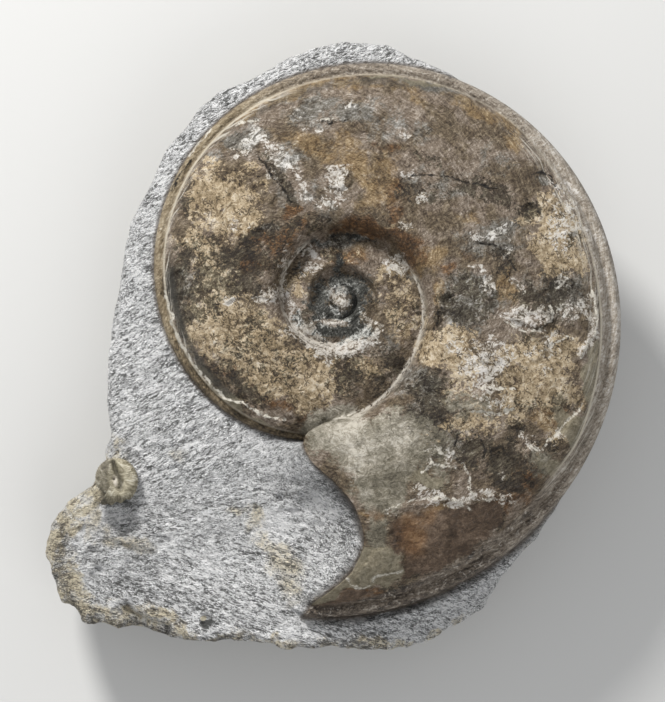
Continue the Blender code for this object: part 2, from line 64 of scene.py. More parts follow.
# %% sizes of the large shell, in millimetres
MM = 0.001
KEEL_PLANE = 27.0
KEEL_FROM = 180
KEEL_RADII = [30.6, 35.1, 40.5, 46.6, 51.9, 56.9, 61.3, 65.3, 69.5, 73.7]
SEAM_FROM = -540
SEAM_RADII = [
    1.8, 2.2, 2.6, 3.0, 3.3, 3.45, 3.5, 3.7, 4.0, 5.4, 6.5, 7.1, 7.2,
    7.1, 7.5, 8.1, 9.0, 11.1, 12.9, 14.1, 15.1, 15.8, 17.7, 20.1, 25.5,
]
HALF_WIDTH_SHARE = 0.193
TURN_GROWTH = 2.15
COVERED_FROM = 0.764
MOUTH_BLEND = 504
MOUTH_EDGE = [
    (0.0, 540), (0.03, 548), (0.06, 551.5), (0.09, 554), (0.115, 555), (0.14, 555), (0.2, 552),
    (0.32, 542), (0.465, 536), (0.61, 534.5), (0.764, 537.5), (0.86, 542), (0.93, 545.5),
    (0.955, 546), (0.975, 546.5), (1.0, 547),
]

print("radii listed:", len(SEAM_RADII), "along the seam and", len(KEEL_RADII), "along the keel")

# %% [markdown]
# Between the listed values every size has to change smoothly. One curve is for evenly spaced values, and one
# for uneven ones, which never overshoots as a plain spline would.

# %% curves through a few values
def evenly(first, step, values, angle):
    """A smooth curve through values that are a fixed step apart."""
    angle = np.asarray(angle, float)
    place = (angle - first) / step
    index = np.clip(np.floor(place).astype(int), 0, len(values) - 2)
    share = place - index
    known = np.array(values)
    last = len(values) - 1
    before = known[np.clip(index - 1, 0, last)]
    here = known[index]
    after = known[index + 1]
    beyond = known[np.clip(index + 2, 0, last)]
    return 0.5 * (
        2 * here
        + (after - before) * share
        + (2 * before - 5 * here + 4 * after - beyond) * share**2
        + (3 * here - before - 3 * after + beyond) * share**3
    )


def rounded(pairs, value):
    """A curve through uneven points that never overshoots them."""
    x = np.array([p[0] for p in pairs], float)
    y = np.array([p[1] for p in pairs], float)
    step = np.diff(y) / np.diff(x)
    slope = np.zeros(len(x))
    for k in range(1, len(x) - 1):
        if step[k - 1] * step[k] > 0:
            slope[k] = 2 * step[k - 1] * step[k] / (step[k - 1] + step[k])
    slope[0] = step[0]
    slope[-1] = step[-1]
    value = np.clip(np.asarray(value, float), x[0], x[-1])
    k = np.clip(np.searchsorted(x, value) - 1, 0, len(x) - 2)
    width = x[k + 1] - x[k]
    s = (value - x[k]) / width
    return (
        (1 + 2 * s) * (1 - s) ** 2 * y[k]
        + s * (1 - s) ** 2 * width * slope[k]
        + s**2 * (3 - 2 * s) * y[k + 1]
        + s**2 * (s - 1) * width * slope[k + 1]
    )


def smooth(low, high, value):
    """0 below low, 1 above high, and an S-shaped rise between them."""
    share = np.clip((np.asarray(value, float) - low) / (high - low), 0, 1)
    return share * share * (3 - 2 * share)


print("a soft step, a quarter of the way:", float(smooth(0, 1, 0.25)))

# %% [markdown]
# An earlier turn's keel is the last turn's, divided by the growth of one turn. The next whorl hides what lies
# beyond a share of 0.764.

# %% radii of the shell
def seam_radius(angle):
    return evenly(SEAM_FROM, 45, SEAM_RADII, angle)


def keel_radius(angle):
    angle = np.asarray(angle, float)
    late = evenly(KEEL_FROM, 45, KEEL_RADII, np.where(angle < KEEL_FROM, angle + 360, angle))
    return np.where(angle < KEEL_FROM, late / TURN_GROWTH, late)


def outer_radius(angle):
    """The seam of the next whorl, or where it would be."""
    angle = np.asarray(angle, float)
    open_part = seam_radius(angle) * (1 - COVERED_FROM) + keel_radius(angle) * COVERED_FROM
    return np.where(angle <= 180, seam_radius(np.minimum(angle + 360, 540)), open_part)


def radius_at(angle, share):
    inner = seam_radius(angle)
    outer = outer_radius(angle)
    past = (share - COVERED_FROM) / (1 - COVERED_FROM)
    covered = inner + (outer - inner) * share / COVERED_FROM
    return np.where(share > COVERED_FROM, outer + (keel_radius(angle) - outer) * past, covered)


print("shell across at the mouth:", round(float(keel_radius(547) + keel_radius(367)), 1), "mm")

# %% [markdown]
# One profile gives the height: a steep wall round the umbilicus, an arched flank, a groove and the low keel.
# Slow lumps, the same as in the solid, make it look grown.

# %% height of the shell's face
FLANK = [
    (0.14, 0.985), (0.2, 1.0), (0.32, 0.99), (0.465, 0.93), (0.61, 0.83), (0.764, 0.67),
    (0.86, 0.5), (0.92, 0.3), (0.942, 0.14), (0.96, 0.17), (0.98, 0.15), (1.0, 0.0),
]
WALL = [(0.0, 0.0), (0.03, 0.5), (0.06, 0.8), (0.09, 0.915), (0.115, 0.965), (0.14, 1.0)]
CREST = 0.14  # the share where the wall round the umbilicus ends
INNER_STOUTNESS = 0.35
CORE_NARROWING = 0.4
LUMP_HEIGHT = 0.42
HOLLOW = (21.9, -0.6, 3.4)  # x, y and radius
HOLLOW_DEPTH = 0.9
LINING = 0.9  # how much of the foot's height is left in the innermost turn


def grain(x, y, size, seed):
    """Blender's own noise at many points, -1 to 1, for lumps of about this size in mm."""
    size = float(size)
    return np.array([noise.noise(Vector((a / size, b / size, seed))) for a, b in zip(x, y)])


def half_width(angle):
    """Half the whorl's thickness, measured at its crest."""
    angle = np.asarray(angle, float)
    width = HALF_WIDTH_SHARE * keel_radius(np.maximum(angle, -180))
    stouter = 1 + INNER_STOUTNESS * smooth(-180, 360, -angle)
    small = 1 - CORE_NARROWING * np.clip((-180 - angle) / 360, 0, 1)
    return np.where(angle >= KEEL_FROM, width, width * stouter * small)


def spots(angle, radius):
    """x and y at a turn angle and radius."""
    turn = np.radians(angle)
    return radius * np.sin(turn), radius * np.cos(turn)


def face_height(angle, share, x, y):
    """Height over the keel plane."""
    fade = smooth(0.1, 0.25, share) * (1 - smooth(0.8, 0.9, share))
    lumps = grain(x, y, 11, 4.2) + 0.5 * grain(x, y, 5, 7.7)
    hollow = np.clip(1 - np.hypot(x - HOLLOW[0], y - HOLLOW[1]) / HOLLOW[2], 0, 1)
    high = half_width(angle) * rounded(FLANK, share) + fade * LUMP_HEIGHT * lumps
    high = high - HOLLOW_DEPTH * smooth(0, 0.6, hollow) * fade
    foot = half_width(np.maximum(angle - 360, -540)) * rounded(FLANK, COVERED_FROM)
    foot = np.where(angle < -180, foot * LINING, foot)
    top = half_width(angle) * rounded(FLANK, CREST)
    climb = foot + (top - foot) * rounded(WALL, share)
    return np.where(share >= CREST, high, climb)


print("flank above the keel plane at the mouth:", round(float(half_width(540)), 1), "mm")

# %% [markdown]
# Marks that can be pointed at are drawn in the picture's own pixels.

# %% from the picture to the object
PX = 0.22  # millimetres to a pixel
PIXEL_CENTRE = (341, 301)


def from_photo(points):
    """Pixels of the reference picture as millimetres on the object."""
    return [((px - PIXEL_CENTRE[0]) * PX, (PIXEL_CENTRE[1] - py) * PX) for px, py in points]


print("the picture is", round(665 * PX, 1), "mm wide")

# %% [markdown]
# Veins, plates, ledges and the mouth's edge are all lines drawn on the object, so one helper serves them all.

# %% distance from a line drawn on the object
def near_line(line, x, y):
    """Distance from a run of straight pieces, share of the way along it, and side: 1 is its left."""
    line = np.array(line, float)
    best = np.full(len(x), 1e9)
    along = np.zeros(len(x))
    side = np.ones(len(x))
    count = len(line) - 1
    for k in range(count):
        a = line[k]
        run = line[k + 1] - a
        share = ((x - a[0]) * run[0] + (y - a[1]) * run[1]) / (run @ run)
        share = np.clip(share, 0, 1)
        off_x = x - a[0] - share * run[0]
        off_y = y - a[1] - share * run[1]
        away = np.hypot(off_x, off_y)
        closer = away < best
        best = np.where(closer, away, best)
        along = np.where(closer, (k + share) / count, along)
        cross = run[0] * off_y - run[1] * off_x
        side = np.where(closer, np.where(cross >= 0, 1, -1), side)
    return best, along, side


def inside_loop(x, y, loop):
    """True for points inside the closed loop."""
    found = np.zeros(len(x), int)
    ahead = np.roll(loop, -1, axis=0)
    for a, b in zip(loop, ahead):
        spans = (a[1] > y) != (b[1] > y)
        if a[1] != b[1]:
            cross = a[0] + (y - a[1]) / (b[1] - a[1]) * (b[0] - a[0])
            found += spans & (cross > x)
    return found % 2 == 1


print("one beside a line is", near_line([(0, 0), (2, 0)], np.ones(1), np.ones(1))[0][0], "away")

# %% [markdown]
# A plate is a patch of shell that stayed on when the rest flaked off, so it stands a little proud. Thin
# ridges and grooves follow old cracks. A sculpted height picture could say that too, but a list keeps each
# mark apart.

# %% relief of the large shell
PLATES = [
    (0.6, [(507, 318), (513, 306), (528, 304), (541, 304), (549, 311), (551, 318), (544, 326), (531, 328)]),
    (0.45, [(578, 346), (592, 343), (598, 352), (600, 375), (598, 400), (590, 425), (577, 447), (560, 467),
            (545, 480), (528, 482), (519, 470), (527, 446), (538, 446), (553, 437), (563, 430), (570, 419),
            (579, 409), (582, 402), (579, 380)]),
    (0.45, [(356, 570), (366, 560), (373, 551), (389, 543), (394, 534), (402, 548), (402, 563), (399, 570),
            (387, 572), (375, 576), (370, 588), (358, 586)]),
    (0.35, [(166, 321), (183, 360), (203, 386), (225, 399), (243, 401), (254, 409), (272, 418), (284, 419),
            (292, 432), (266, 429), (233, 413), (203, 392), (180, 365), (163, 330)]),
    (0.35, [(446, 398), (462, 390), (490, 386), (514, 390), (512, 408), (490, 412), (462, 409)]),
    (0.3, [(524, 330), (536, 328), (543, 334), (534, 340), (525, 337)]),
    (0.3, [(466, 268), (476, 262), (490, 270), (497, 284), (492, 298), (480, 292)]),
    (0.3, [(470, 344), (486, 350), (502, 356), (496, 364), (480, 362)]),
    (0.35, [(321, 163), (334, 158), (350, 166), (351, 184), (340, 192), (326, 186)]),
]
RIDGES = [
    (0.45, 0.5, [(578, 356), (586, 343), (593, 335), (597, 320), (595, 300), (593, 287)]),
    (0.35, 0.4, [(534, 358), (545, 346), (554, 339), (567, 338)]),
    (0.3, 0.4, [(466, 477), (471, 496), (485, 496), (511, 496)]),
    (-0.3, 0.4, [(452, 445), (456, 434), (466, 430), (477, 434), (484, 448), (481, 462)]),
    (0.3, 0.4, [(421, 471), (430, 462), (445, 466), (455, 468)]),
    (0.3, 0.4, [(271, 299), (262, 297), (240, 296), (228, 300)]),
    (0.3, 0.35, [(392, 508), (407, 505), (425, 502), (447, 498), (470, 504)]),
    (-0.35, 0.4, [(477, 244), (495, 247), (505, 256), (514, 270)]),
    (-0.3, 0.45, [(397, 180), (430, 174), (460, 180), (494, 190)]),
    (-0.4, 0.6, [(287, 160), (284, 175), (281, 192), (274, 206)]),
    (-0.25, 0.3, [(345, 122), (332, 123), (322, 122)]),
]
HOLLOWS = [
    (1.6, (436, 318), 2.6), (1.0, (446, 301), 1.8), (0.8, (544, 181), 2.8), (0.5, (529, 209), 1.6),
    (0.5, (573, 238), 1.3), (0.45, (470, 450), 3.0), (0.5, (262, 160), 2.0), (0.5, (500, 468), 5.0),
    (0.6, (178, 280), 2.5), (0.5, (184, 300), 2.5), (0.4, (256, 240), 3.0), (0.5, (430, 400), 4.0),
    (0.5, (560, 297), 4.5), (0.4, (516, 429), 1.6), (0.4, (338, 257), 1.6), (0.4, (304, 268), 1.6),
]
RELIEF_SINK = 0.3
PLATE_RISE = 1.5
RIDGE_RISE = 1.3


def relief(x, y, share):
    """What the flank has over its plain form, for the upper face."""
    fade = smooth(0.02, 0.1, share) * (1 - smooth(0.93, 1.0, share))
    high = 0.3 * grain(x, y, 2.8, 40.0) + 0.22 * grain(x, y, 1.3, 41.0)
    wander_x = x + 0.5 * grain(x, y, 2.0, 42.0) + 0.3 * grain(x, y, 0.9, 43.0)
    wander_y = y + 0.5 * grain(x, y, 2.0, 44.0) + 0.3 * grain(x, y, 0.9, 45.0)
    for height, corners in PLATES:
        edge = np.array(from_photo(corners))
        gap, _, _ = near_line(np.vstack([edge, edge[:1]]), wander_x, wander_y)
        gap = np.where(inside_loop(wander_x, wander_y, edge), gap, -gap)
        high = high + PLATE_RISE * height * smooth(-0.2, 0.2, gap)
    for height, width, line in RIDGES:
        gap, _, _ = near_line(from_photo(line), wander_x, wander_y)
        high = high + RIDGE_RISE * height * np.exp(-((gap / width) ** 2))
    for depth, place, radius in HOLLOWS:
        px, py = from_photo([place])[0]
        reach = np.hypot(wander_x - px, wander_y - py) / radius
        high = high - depth * (1 - smooth(0.35, 1.1, reach))
    return high * fade - RELIEF_SINK * smooth(0.12, 0.2, share) * (1 - smooth(0.8, 0.95, share))


print("plates, ridges and hollows:", len(PLATES), len(RIDGES), len(HOLLOWS))

# %% [markdown]
# The mesh is columns across the whorl. Rows of one whorl end in the seam of the next, so the face is one
# skin, which a screw modifier's turns wouldn't be. Two columns may hold different numbers of points.

# %% a helper that fills strips
class Spiral:
    """Places of points as (turn angle, share, side), and the faces between them."""

    def __init__(self):
        self.places = []
        self.faces = []

    def add(self, angle, share, side):
        self.places.append((angle, share, side))
        return len(self.places) - 1

    def face(self, corners, flip):
        if len(set(corners)) == len(corners):
            self.faces.append(corners[::-1] if flip else corners)

    def band(self, left, right, extra, flip):
        """Fills between two columns of (share, point), where extra points lie on the outer end."""
        i = 0
        j = 0
        while i < len(left) - 2 or j < len(right) - 2:
            level = left[i + 1][0] - right[j + 1][0]
            both = i < len(left) - 2 and j < len(right) - 2 and abs(level) < 1e-6
            if both:
                self.face([left[i][1], left[i + 1][1], right[j + 1][1], right[j][1]], flip)
                i += 1
                j += 1
            elif i < len(left) - 2 and (j >= len(right) - 2 or level < 0):
                self.face([left[i][1], left[i + 1][1], right[j][1]], flip)
                i += 1
            else:
                self.face([left[i][1], right[j + 1][1], right[j][1]], flip)
                j += 1
        rim = [left[-1][1], *extra, right[-1][1], right[-2][1]]
        for a, b in zip(rim, rim[1:]):
            self.face([left[-2][1], a, b], flip)


spiral = Spiral()
print("spiral points so far:", len(spiral.places))

# %% [markdown]
# Rows lie closest where the relief is fine. The last columns swing round so that the shell ends along the
# curved edge of its mouth.

# %% rows and columns of the spiral
TURN = 720  # columns are half a degree apart
CORE_END = -1080
MIDDLE_FROM = -360
OPEN_FROM = 360
MOUTH_COLUMN = 1080
COLUMNS = [*range(CORE_END, MIDDLE_FROM, 6), *range(MIDDLE_FROM, OPEN_FROM, 2)]
COLUMNS += range(OPEN_FROM, MOUTH_COLUMN + 1)
START_REACH = 24
START_LEAN = 15
FLANK_ROWS = [CREST + 0.0104 * k for k in range(60)]
UPPER_ROWS = {
    "inner": [0.0, 0.03, 0.06, 0.1, 0.14, 0.2, 0.27, 0.34, 0.42, 0.5, 0.58, 0.66],
    "middle": [0.0, 0.02, 0.04, 0.06, 0.08, 0.1, 0.12] + [CREST + 0.024 * k for k in range(26)],
    "last": [0.015 * k for k in range(9)] + FLANK_ROWS,
    "outer": [COVERED_FROM + (1 - COVERED_FROM) * k / 30 for k in range(31)],
}
LOWER_ROWS = {
    "inner": [0.0, 0.14, 0.4],
    "middle": [0.0, 0.06, 0.14, 0.3, 0.5],
    "last": [0.0, 0.06, 0.14, 0.22, 0.32, 0.42, 0.52, 0.61, 0.69],
    "outer": [COVERED_FROM, 0.81, 0.86, 0.89, 0.92, 0.942, 0.96, 0.98, 1.0],
}


def mouth_angle(share):
    return rounded(MOUTH_EDGE, share)


def bent(column, share):
    if column <= MOUTH_BLEND:
        return float(column)
    lean = (column - MOUTH_BLEND) / (540 - MOUTH_BLEND)
    return float(MOUTH_BLEND + lean * (mouth_angle(share) - MOUTH_BLEND))


print("columns:", len(COLUMNS), "rows on the last turn:", len(UPPER_ROWS["last"]))

# %% [markdown]
# A strip runs on out to the keel, where both faces share their points. One face of the shell is the columns,
# that strip, and a fan of triangles in the middle of the coil.

# %% faces of the spiral
def outer_strips(mesh, side, rows, lines, keel_points):
    crossing = [s for s in rows["last"] if 0 < s < CREST] + [CREST]
    strips = {}
    for c in range(OPEN_FROM, MOUTH_COLUMN + 1):
        line = [(COVERED_FROM, lines[c][-1][1])]
        if c == OPEN_FROM:
            for number, share in enumerate(crossing):
                turn = float(mouth_angle(share)) - 360
                radius = float(radius_at(turn + 360, share))
                low = float(outer_radius(turn))
                past = min((radius - low) / (float(keel_radius(turn)) - low), 1.0)
                past = 1.0 if number == len(crossing) - 1 else past
                across = COVERED_FROM + (1 - COVERED_FROM) * past
                if past == 1.0:
                    point = keel_points.setdefault(c, mesh.add(turn, 1.0, 0))
                else:
                    point = mesh.add(turn, across, side)
                line.append((across, point))
        else:
            lean = max(0.0, 1 - (c / 2 - 180) / START_REACH)
            for share in rows["outer"][1:]:
                along = (share - COVERED_FROM) / (1 - COVERED_FROM)
                angle = bent(c / 2, share) + lean * START_LEAN * math.sqrt(along)
                if share < 1:
                    line.append((share, mesh.add(angle, share, side)))
                else:
                    if c not in keel_points:
                        keel_points[c] = mesh.add(angle, 1.0, 0)
                    line.append((share, keel_points[c]))
        strips[c] = line
    for c in range(OPEN_FROM, MOUTH_COLUMN):
        mesh.band(strips[c], strips[c + 1], [], side < 0)
    return strips


keel_ring = {}


def whorl_side(mesh, side, keel_points):
    """One face of the shell: its mouth column, and the columns of its outer strip."""
    rows = UPPER_ROWS if side > 0 else LOWER_ROWS
    seams = {c: mesh.add(c / 2, 0.0, side) for c in COLUMNS}
    lines = {}
    for c in COLUMNS:
        part = "inner" if c < MIDDLE_FROM else "middle" if c < OPEN_FROM else "last"
        line = [(0.0, seams[c])]
        for share in rows[part][1:]:
            line.append((share, mesh.add(bent(c / 2, share), share, side)))
        if c + TURN in seams:
            edge = seams[c + TURN]
        else:
            edge = mesh.add(bent(c / 2, COVERED_FROM), COVERED_FROM, side)
        lines[c] = line + [(COVERED_FROM, edge)]
    end = mesh.add(float(mouth_angle(COVERED_FROM)), COVERED_FROM, side)
    lines[MOUTH_COLUMN][-1] = (COVERED_FROM, end)
    for left, right in zip(COLUMNS, COLUMNS[1:]):
        extra = [seams[k + TURN] for k in range(left + 1, right) if k + TURN in seams]
        mesh.band(lines[left], lines[right], extra, side < 0)
    strips = outer_strips(mesh, side, rows, lines, keel_points)
    knob = mesh.add(-540.0, -1.0, side)
    ring = [seams[c] for c in COLUMNS if c <= CORE_END + TURN]
    ring += [point for _, point in reversed(lines[CORE_END][1:-1])]
    for a, b in zip(ring, ring[1:] + ring[:1]):
        mesh.face([knob, a, b], side > 0)
    return lines[MOUTH_COLUMN], strips


upper_end = whorl_side(spiral, 1, keel_ring)
lower_end = whorl_side(spiral, -1, keel_ring)
print("spiral points on both faces:", len(spiral.places))

# %% [markdown]
# A wall closes the mouth, because only a closed mesh can be made as a solid thing.

# %% the mouth's wall
def mouth_wall(mesh, upper, lower):
    """The upright wall of the mouth, which stands on the inner whorl near the umbilicus."""
    for (row, strips), flip in ((upper, False), (lower, True)):
        under = [point for _, point in strips[OPEN_FROM]]
        over = [point for share, point in row if share <= CREST]
        for k in range(min(len(over), len(under)) - 1):
            mesh.face([over[k], over[k + 1], under[k + 1]], flip)
            if k > 0:
                mesh.face([over[k], under[k + 1], under[k]], flip)
    tops = [p for p in upper[0] if p[0] >= CREST] + upper[1][MOUTH_COLUMN][1:]
    bottoms = [p for p in lower[0] if p[0] >= CREST] + lower[1][MOUTH_COLUMN][1:]
    mesh.face([tops[0][1], bottoms[0][1], upper[1][OPEN_FROM][-1][1]], True)
    i = 0
    j = 0
    while i < len(tops) - 1 or j < len(bottoms) - 1:
        if i < len(tops) - 1 and (j >= len(bottoms) - 1 or tops[i + 1][0] <= bottoms[j + 1][0] + 1e-9):
            mesh.face([tops[i][1], tops[i + 1][1], bottoms[j][1]], False)
            i += 1
        else:
            mesh.face([tops[i][1], bottoms[j + 1][1], bottoms[j][1]], False)
            j += 1


mouth_wall(spiral, upper_end, lower_end)
print("spiral points:", len(spiral.places), "faces:", len(spiral.faces))

# %% [markdown]
# So far each point is a turn angle, a share and a side, and now it gets a place. A soft floor fills the first
# turns in the middle, which are too small to show.

# %% place the points
CORE_KNOB = 3.0
CORE_RADIUS = 0.5
CORE_FLOOR = 2.4
CORE_EASE = 0.6
LOWER_SHARE = 0.93


def shell_places(places):
    """Turn angle, share and side become x, y, z in mm."""
    table = np.array(places, float)
    angle, share, side = table.T
    knob = share < 0
    share = np.where(knob, 0, share)
    radius = np.where(knob, CORE_RADIUS, radius_at(angle, share))
    x, y = spots(angle, radius)
    rise = face_height(angle, share, x, y)
    rise = np.where(knob, CORE_KNOB, rise)
    floor_level = CORE_FLOOR * (1 - smooth(3.0, 6.5, radius))
    lift = np.clip(floor_level - rise + CORE_EASE, 0, None)
    rise = rise + np.where(knob, 0, lift * lift / (lift + CORE_EASE))
    deep = np.where(side < 0, -LOWER_SHARE, side)
    lifted = relief(x, y, share) * (side > 0)
    return x, y, rise * deep + lifted + KEEL_PLANE, angle, share, side


shell_x, shell_y, shell_z, shell_angle, shell_share, shell_side = shell_places(spiral.places)


def new_piece(name, points, faces):
    """A smooth-shaded mesh object from points in mm."""
    data = bpy.data.meshes.new(name)
    points = np.clip(points * MM, np.array(cad_low), np.array(cad_high))
    data.from_pydata([tuple(p) for p in points], [], faces)
    data.validate()
    data.shade_smooth()
    data.update()
    piece = bpy.data.objects.new(name, data)
    bpy.context.scene.collection.objects.link(piece)
    return piece


shell_piece = new_piece("large_shell", np.column_stack([shell_x, shell_y, shell_z]), spiral.faces)
print("large shell triangles:", sum(len(f) - 2 for f in spiral.faces))
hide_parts("large_ammonite")
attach(shell_piece, "root")

# %% [markdown]
# The rock is not a block with noise on it. Its outline was read off the real lump, its sides were broken by
# hammer, and its top was worked down to the shell with an air pen.

# %% the rock's outline and edge
OUTLINE = [
    (0.0, 57.5), (9.9, 56.7), (14.6, 54.4), (24.0, 50.4), (31.0, 46.0), (37.5, 40.0), (43.5, 33.0),
    (48.5, 25.0), (52.0, 15.0), (54.0, 5.0), (55.4, -5.0), (56.4, -13.0), (56.6, -20.0),
    (56.2, -26.5), (54.7, -32.0), (53.0, -37.2), (49.9, -41.9), (46.9, -46.9), (43.6, -51.9),
    (39.6, -56.5), (35.2, -61.6), (31.6, -68.2), (26.0, -71.8), (20.2, -75.9), (13.6, -76.8),
    (6.8, -77.4), (0.0, -77.1), (-6.8, -76.6), (-13.6, -77.1), (-20.3, -75.9), (-27.7, -76.2),
    (-35.4, -75.7), (-42.4, -73.7), (-49.7, -72.4), (-53.2, -71.9), (-57.0, -71.8), (-59.6, -68.4),
    (-62.1, -66.4), (-63.6, -63.8), (-65.0, -60.0), (-65.6, -54.5), (-65.6, -51.5), (-62.0, -45.0),
    (-58.2, -41.9), (-54.4, -39.6), (-53.0, -36.0), (-51.6, -29.8), (-52.0, -24.2), (-51.6, -13.9),
    (-51.3, -9.2), (-50.7, -4.6), (-49.8, 0.5), (-49.0, 4.2), (-48.4, 8.6), (-46.7, 17.0),
    (-44.9, 21.0), (-42.7, 24.7), (-39.2, 32.8), (-36.4, 36.4), (-33.4, 39.8), (-30.5, 43.6),
    (-26.7, 46.7), (-22.2, 48.0), (-18.2, 50.0), (-14.1, 52.6), (-9.6, 54.6), (-4.9, 56.3),
]
ROCK_EDGE = [  # angle, how far the top edge lies inside the outline, and its height
    (0, 2.5, 22.6), (20, 2.0, 22.2), (40, 1.5, 24.8), (122, 1.5, 24.8), (130, 3.0, 22.5),
    (150, 3.5, 20.5), (165, 2.5, 21.0), (180, 1.5, 23.4), (200, 1.3, 23.8), (207, 1.8, 22.6),
    (214, 2.6, 22.4), (217, 3.2, 23.8), (222, 5.0, 23.4), (230, 4.2, 23.4), (234, 3.0, 24.0),
    (242, 1.5, 24.4), (270, 1.5, 23.6), (300, 1.5, 23.0), (330, 1.6, 23.0), (345, 2.5, 22.5),
    (360, 2.5, 22.6),
]
RIM_STEP = 0.5
BITE_LEVELS = 2.6  # a bite's depth comes in steps, so that it has corners


def even_loop(corners, step):
    """The closed outline, cut into even steps with its corners slightly eased."""
    corners = np.array(corners)
    around = np.vstack([corners, corners[:1]])
    lengths = np.hypot(*np.diff(around, axis=0).T)
    passed = np.concatenate([[0], np.cumsum(lengths)])
    count = int(round(passed[-1] / step))
    place = np.arange(count) * passed[-1] / count
    x = np.interp(place, passed, around[:, 0])
    y = np.interp(place, passed, around[:, 1])
    for _ in range(3):
        x = (np.roll(x, 1) + 2 * x + np.roll(x, -1)) / 4
        y = (np.roll(y, 1) + 2 * y + np.roll(y, -1)) / 4
    return np.column_stack([x, y])


def inward(points, reach):
    """The direction into the closed loop at each of its points."""
    along = np.roll(points, -reach, axis=0) - np.roll(points, reach, axis=0)
    normal = np.column_stack([along[:, 1], -along[:, 0]])
    return normal / np.hypot(*normal.T)[:, None]


def turn_of(x, y):
    """The angle from +Y, clockwise, 0 to 360."""
    return np.degrees(np.arctan2(x, y)) % 360


def edge_values(x, y):
    """How far the top edge lies inside the outline, and how high it is."""
    turn = turn_of(x, y)
    known = [row[0] for row in ROCK_EDGE]
    inset = np.interp(turn, known, [row[1] for row in ROCK_EDGE])
    level = np.interp(turn, known, [row[2] for row in ROCK_EDGE])
    return inset, level


def broken_edge(points):
    """The outline with small bites out of it, deeper at the lower left and the bottom."""
    x, y = points.T
    turn = turn_of(x, y)
    deep = 0.35 + 0.9 * smooth(150, 170, turn) * (1 - smooth(238, 250, turn))
    steps = np.floor(BITE_LEVELS * grain(x, y, 3.4, 71.0) + 0.4 * grain(x, y, 1.2, 72.0)) / BITE_LEVELS
    steps = (np.roll(steps, 1) + steps + np.roll(steps, -1)) / 3
    bite = np.clip(0.35 - steps, 0, 1.0) + 0.25 * np.abs(grain(x, y, 1.4, 73.0))
    return points + inward(points, 3) * (deep * bite)[:, None]


rim = broken_edge(even_loop(OUTLINE, RIM_STEP))
print("rim points:", len(rim))

# %% [markdown]
# The rock's top depends on where the shell lies: round the keel, and back along the mouth's edge.

# %% the shell's outline on the rock
def mouth_line():
    """The mouth's edge, seen from above."""
    share = np.linspace(CREST, 1.0, 90)
    angle = mouth_angle(share)
    return np.column_stack(spots(angle, radius_at(angle, share)))


mouth_places = mouth_line()


def shell_outline():
    turn = np.arange(187, 547.1, 2.0)
    keel = np.column_stack(spots(turn, keel_radius(turn)))
    return np.vstack([keel, mouth_places[-2::-2]])


shell_edge = shell_outline()
print("points round the shell:", len(shell_edge))


def shell_gap(x, y):
    """Distance outside the shell's outline, negative below the shell."""
    gap, _, _ = near_line(np.vstack([shell_edge, shell_edge[:1]]), x, y)
    return np.where(inside_loop(x, y, shell_edge), -gap, gap)

# %% [markdown]
# A mark that can be pointed at is a short line or a spot, with a depth in millimetres. The rest is noise,
# such as the short strokes of the tool. They rise to the right high on the rock and fall to the right low
# down.

# %% marks and strokes on the rock's top
LEDGE = from_photo([(126, 608), (136, 616), (150, 624), (168, 628)])
RIDGE = from_photo([(88, 480), (93, 505), (100, 527), (124, 538), (150, 547)])
CRACKS = [
    from_photo([(351, 627), (359, 630), (369, 637)]),
    from_photo([(377, 625), (381, 633)]),
    from_photo([(350, 624), (372, 619), (398, 611), (424, 602)]),
]
PITS = [((207, 622), 2.4, 1.2), ((281, 498), 1.5, 0.7), ((231, 84), 2.5, 1.4), ((92, 553), 2.5, 0.7)]
FLAT_NOTCH = ((121, 522), 4.6, 1.0)
LEDGE_DEPTH = 1.6
RIDGE_HEIGHT = 1.0
CRACK_DEPTH = 0.6


def dish(place, radius, x, y):
    """1 in the middle of a round hollow, 0 at its rim."""
    px, py = from_photo([place])[0]
    return smooth(0, 0.8, np.clip(1 - np.hypot(x - px, y - py) / radius, 0, 1))


def rock_marks(x, y):
    """What the marks add to the height, each drop on one side of its line included."""
    gap, _, side = near_line(LEDGE, x, y)
    rise = -LEDGE_DEPTH * np.exp(-((gap / 0.8) ** 2)) - 0.6 * np.clip(1 - gap / 4, 0, 1) * (side < 0)
    gap, _, side = near_line(RIDGE, x, y)
    rise = rise + RIDGE_HEIGHT * np.exp(-((gap / 1.1) ** 2))
    rise = rise - 0.5 * np.clip(1 - gap / 3, 0, 1) * (side > 0)
    for crack in CRACKS:
        gap, _, _ = near_line(crack, x, y)
        rise = rise - CRACK_DEPTH * np.exp(-((gap / 0.4) ** 2))
    for place, radius, depth in [*PITS, FLAT_NOTCH]:
        rise = rise - depth * dish(place, radius, x, y)
    return rise


STROKE_HEIGHT = 0.42
STROKE_STRETCH = 3.0
STROKE_WIDTH = 0.95


def stroke_noise(x, y, turn, seed):
    """Noise that is three times longer one way than across."""
    c = math.cos(math.radians(turn))
    s = math.sin(math.radians(turn))
    return grain((x * c + y * s) / STROKE_STRETCH, -x * s + y * c, STROKE_WIDTH, seed)


def strokes(x, y):
    high = smooth(-47, -36, y)
    return stroke_noise(x, y, 26, 12.4) * high + stroke_noise(x, y, -19, 15.1) * (1 - high)


print("strokes are", STROKE_HEIGHT, "mm high and", STROKE_WIDTH, "mm wide, at most")

# %% [markdown]
# The rock lies just below the keel plane beside the shell, and eases from there to its edge. It climbs in a
# ramp into the mouth, and a groove follows the keel at the lower right.

# %% height of the rock's top
ROCK_LEVEL = 23.6
RAMP_REACH = 15.0
BEDDED = 0.7  # how far the rock stays below the keel plane beside the shell
GROOVE_DEPTH = 1.2


def groove_share(away, turn):
    """1 in the worked groove between the shell's keel and the rock, at the lower right."""
    held = smooth(128, 142, turn) * (1 - smooth(180, 190, turn))
    return held * (1 - smooth(0.7, 2.3, np.abs(away)))


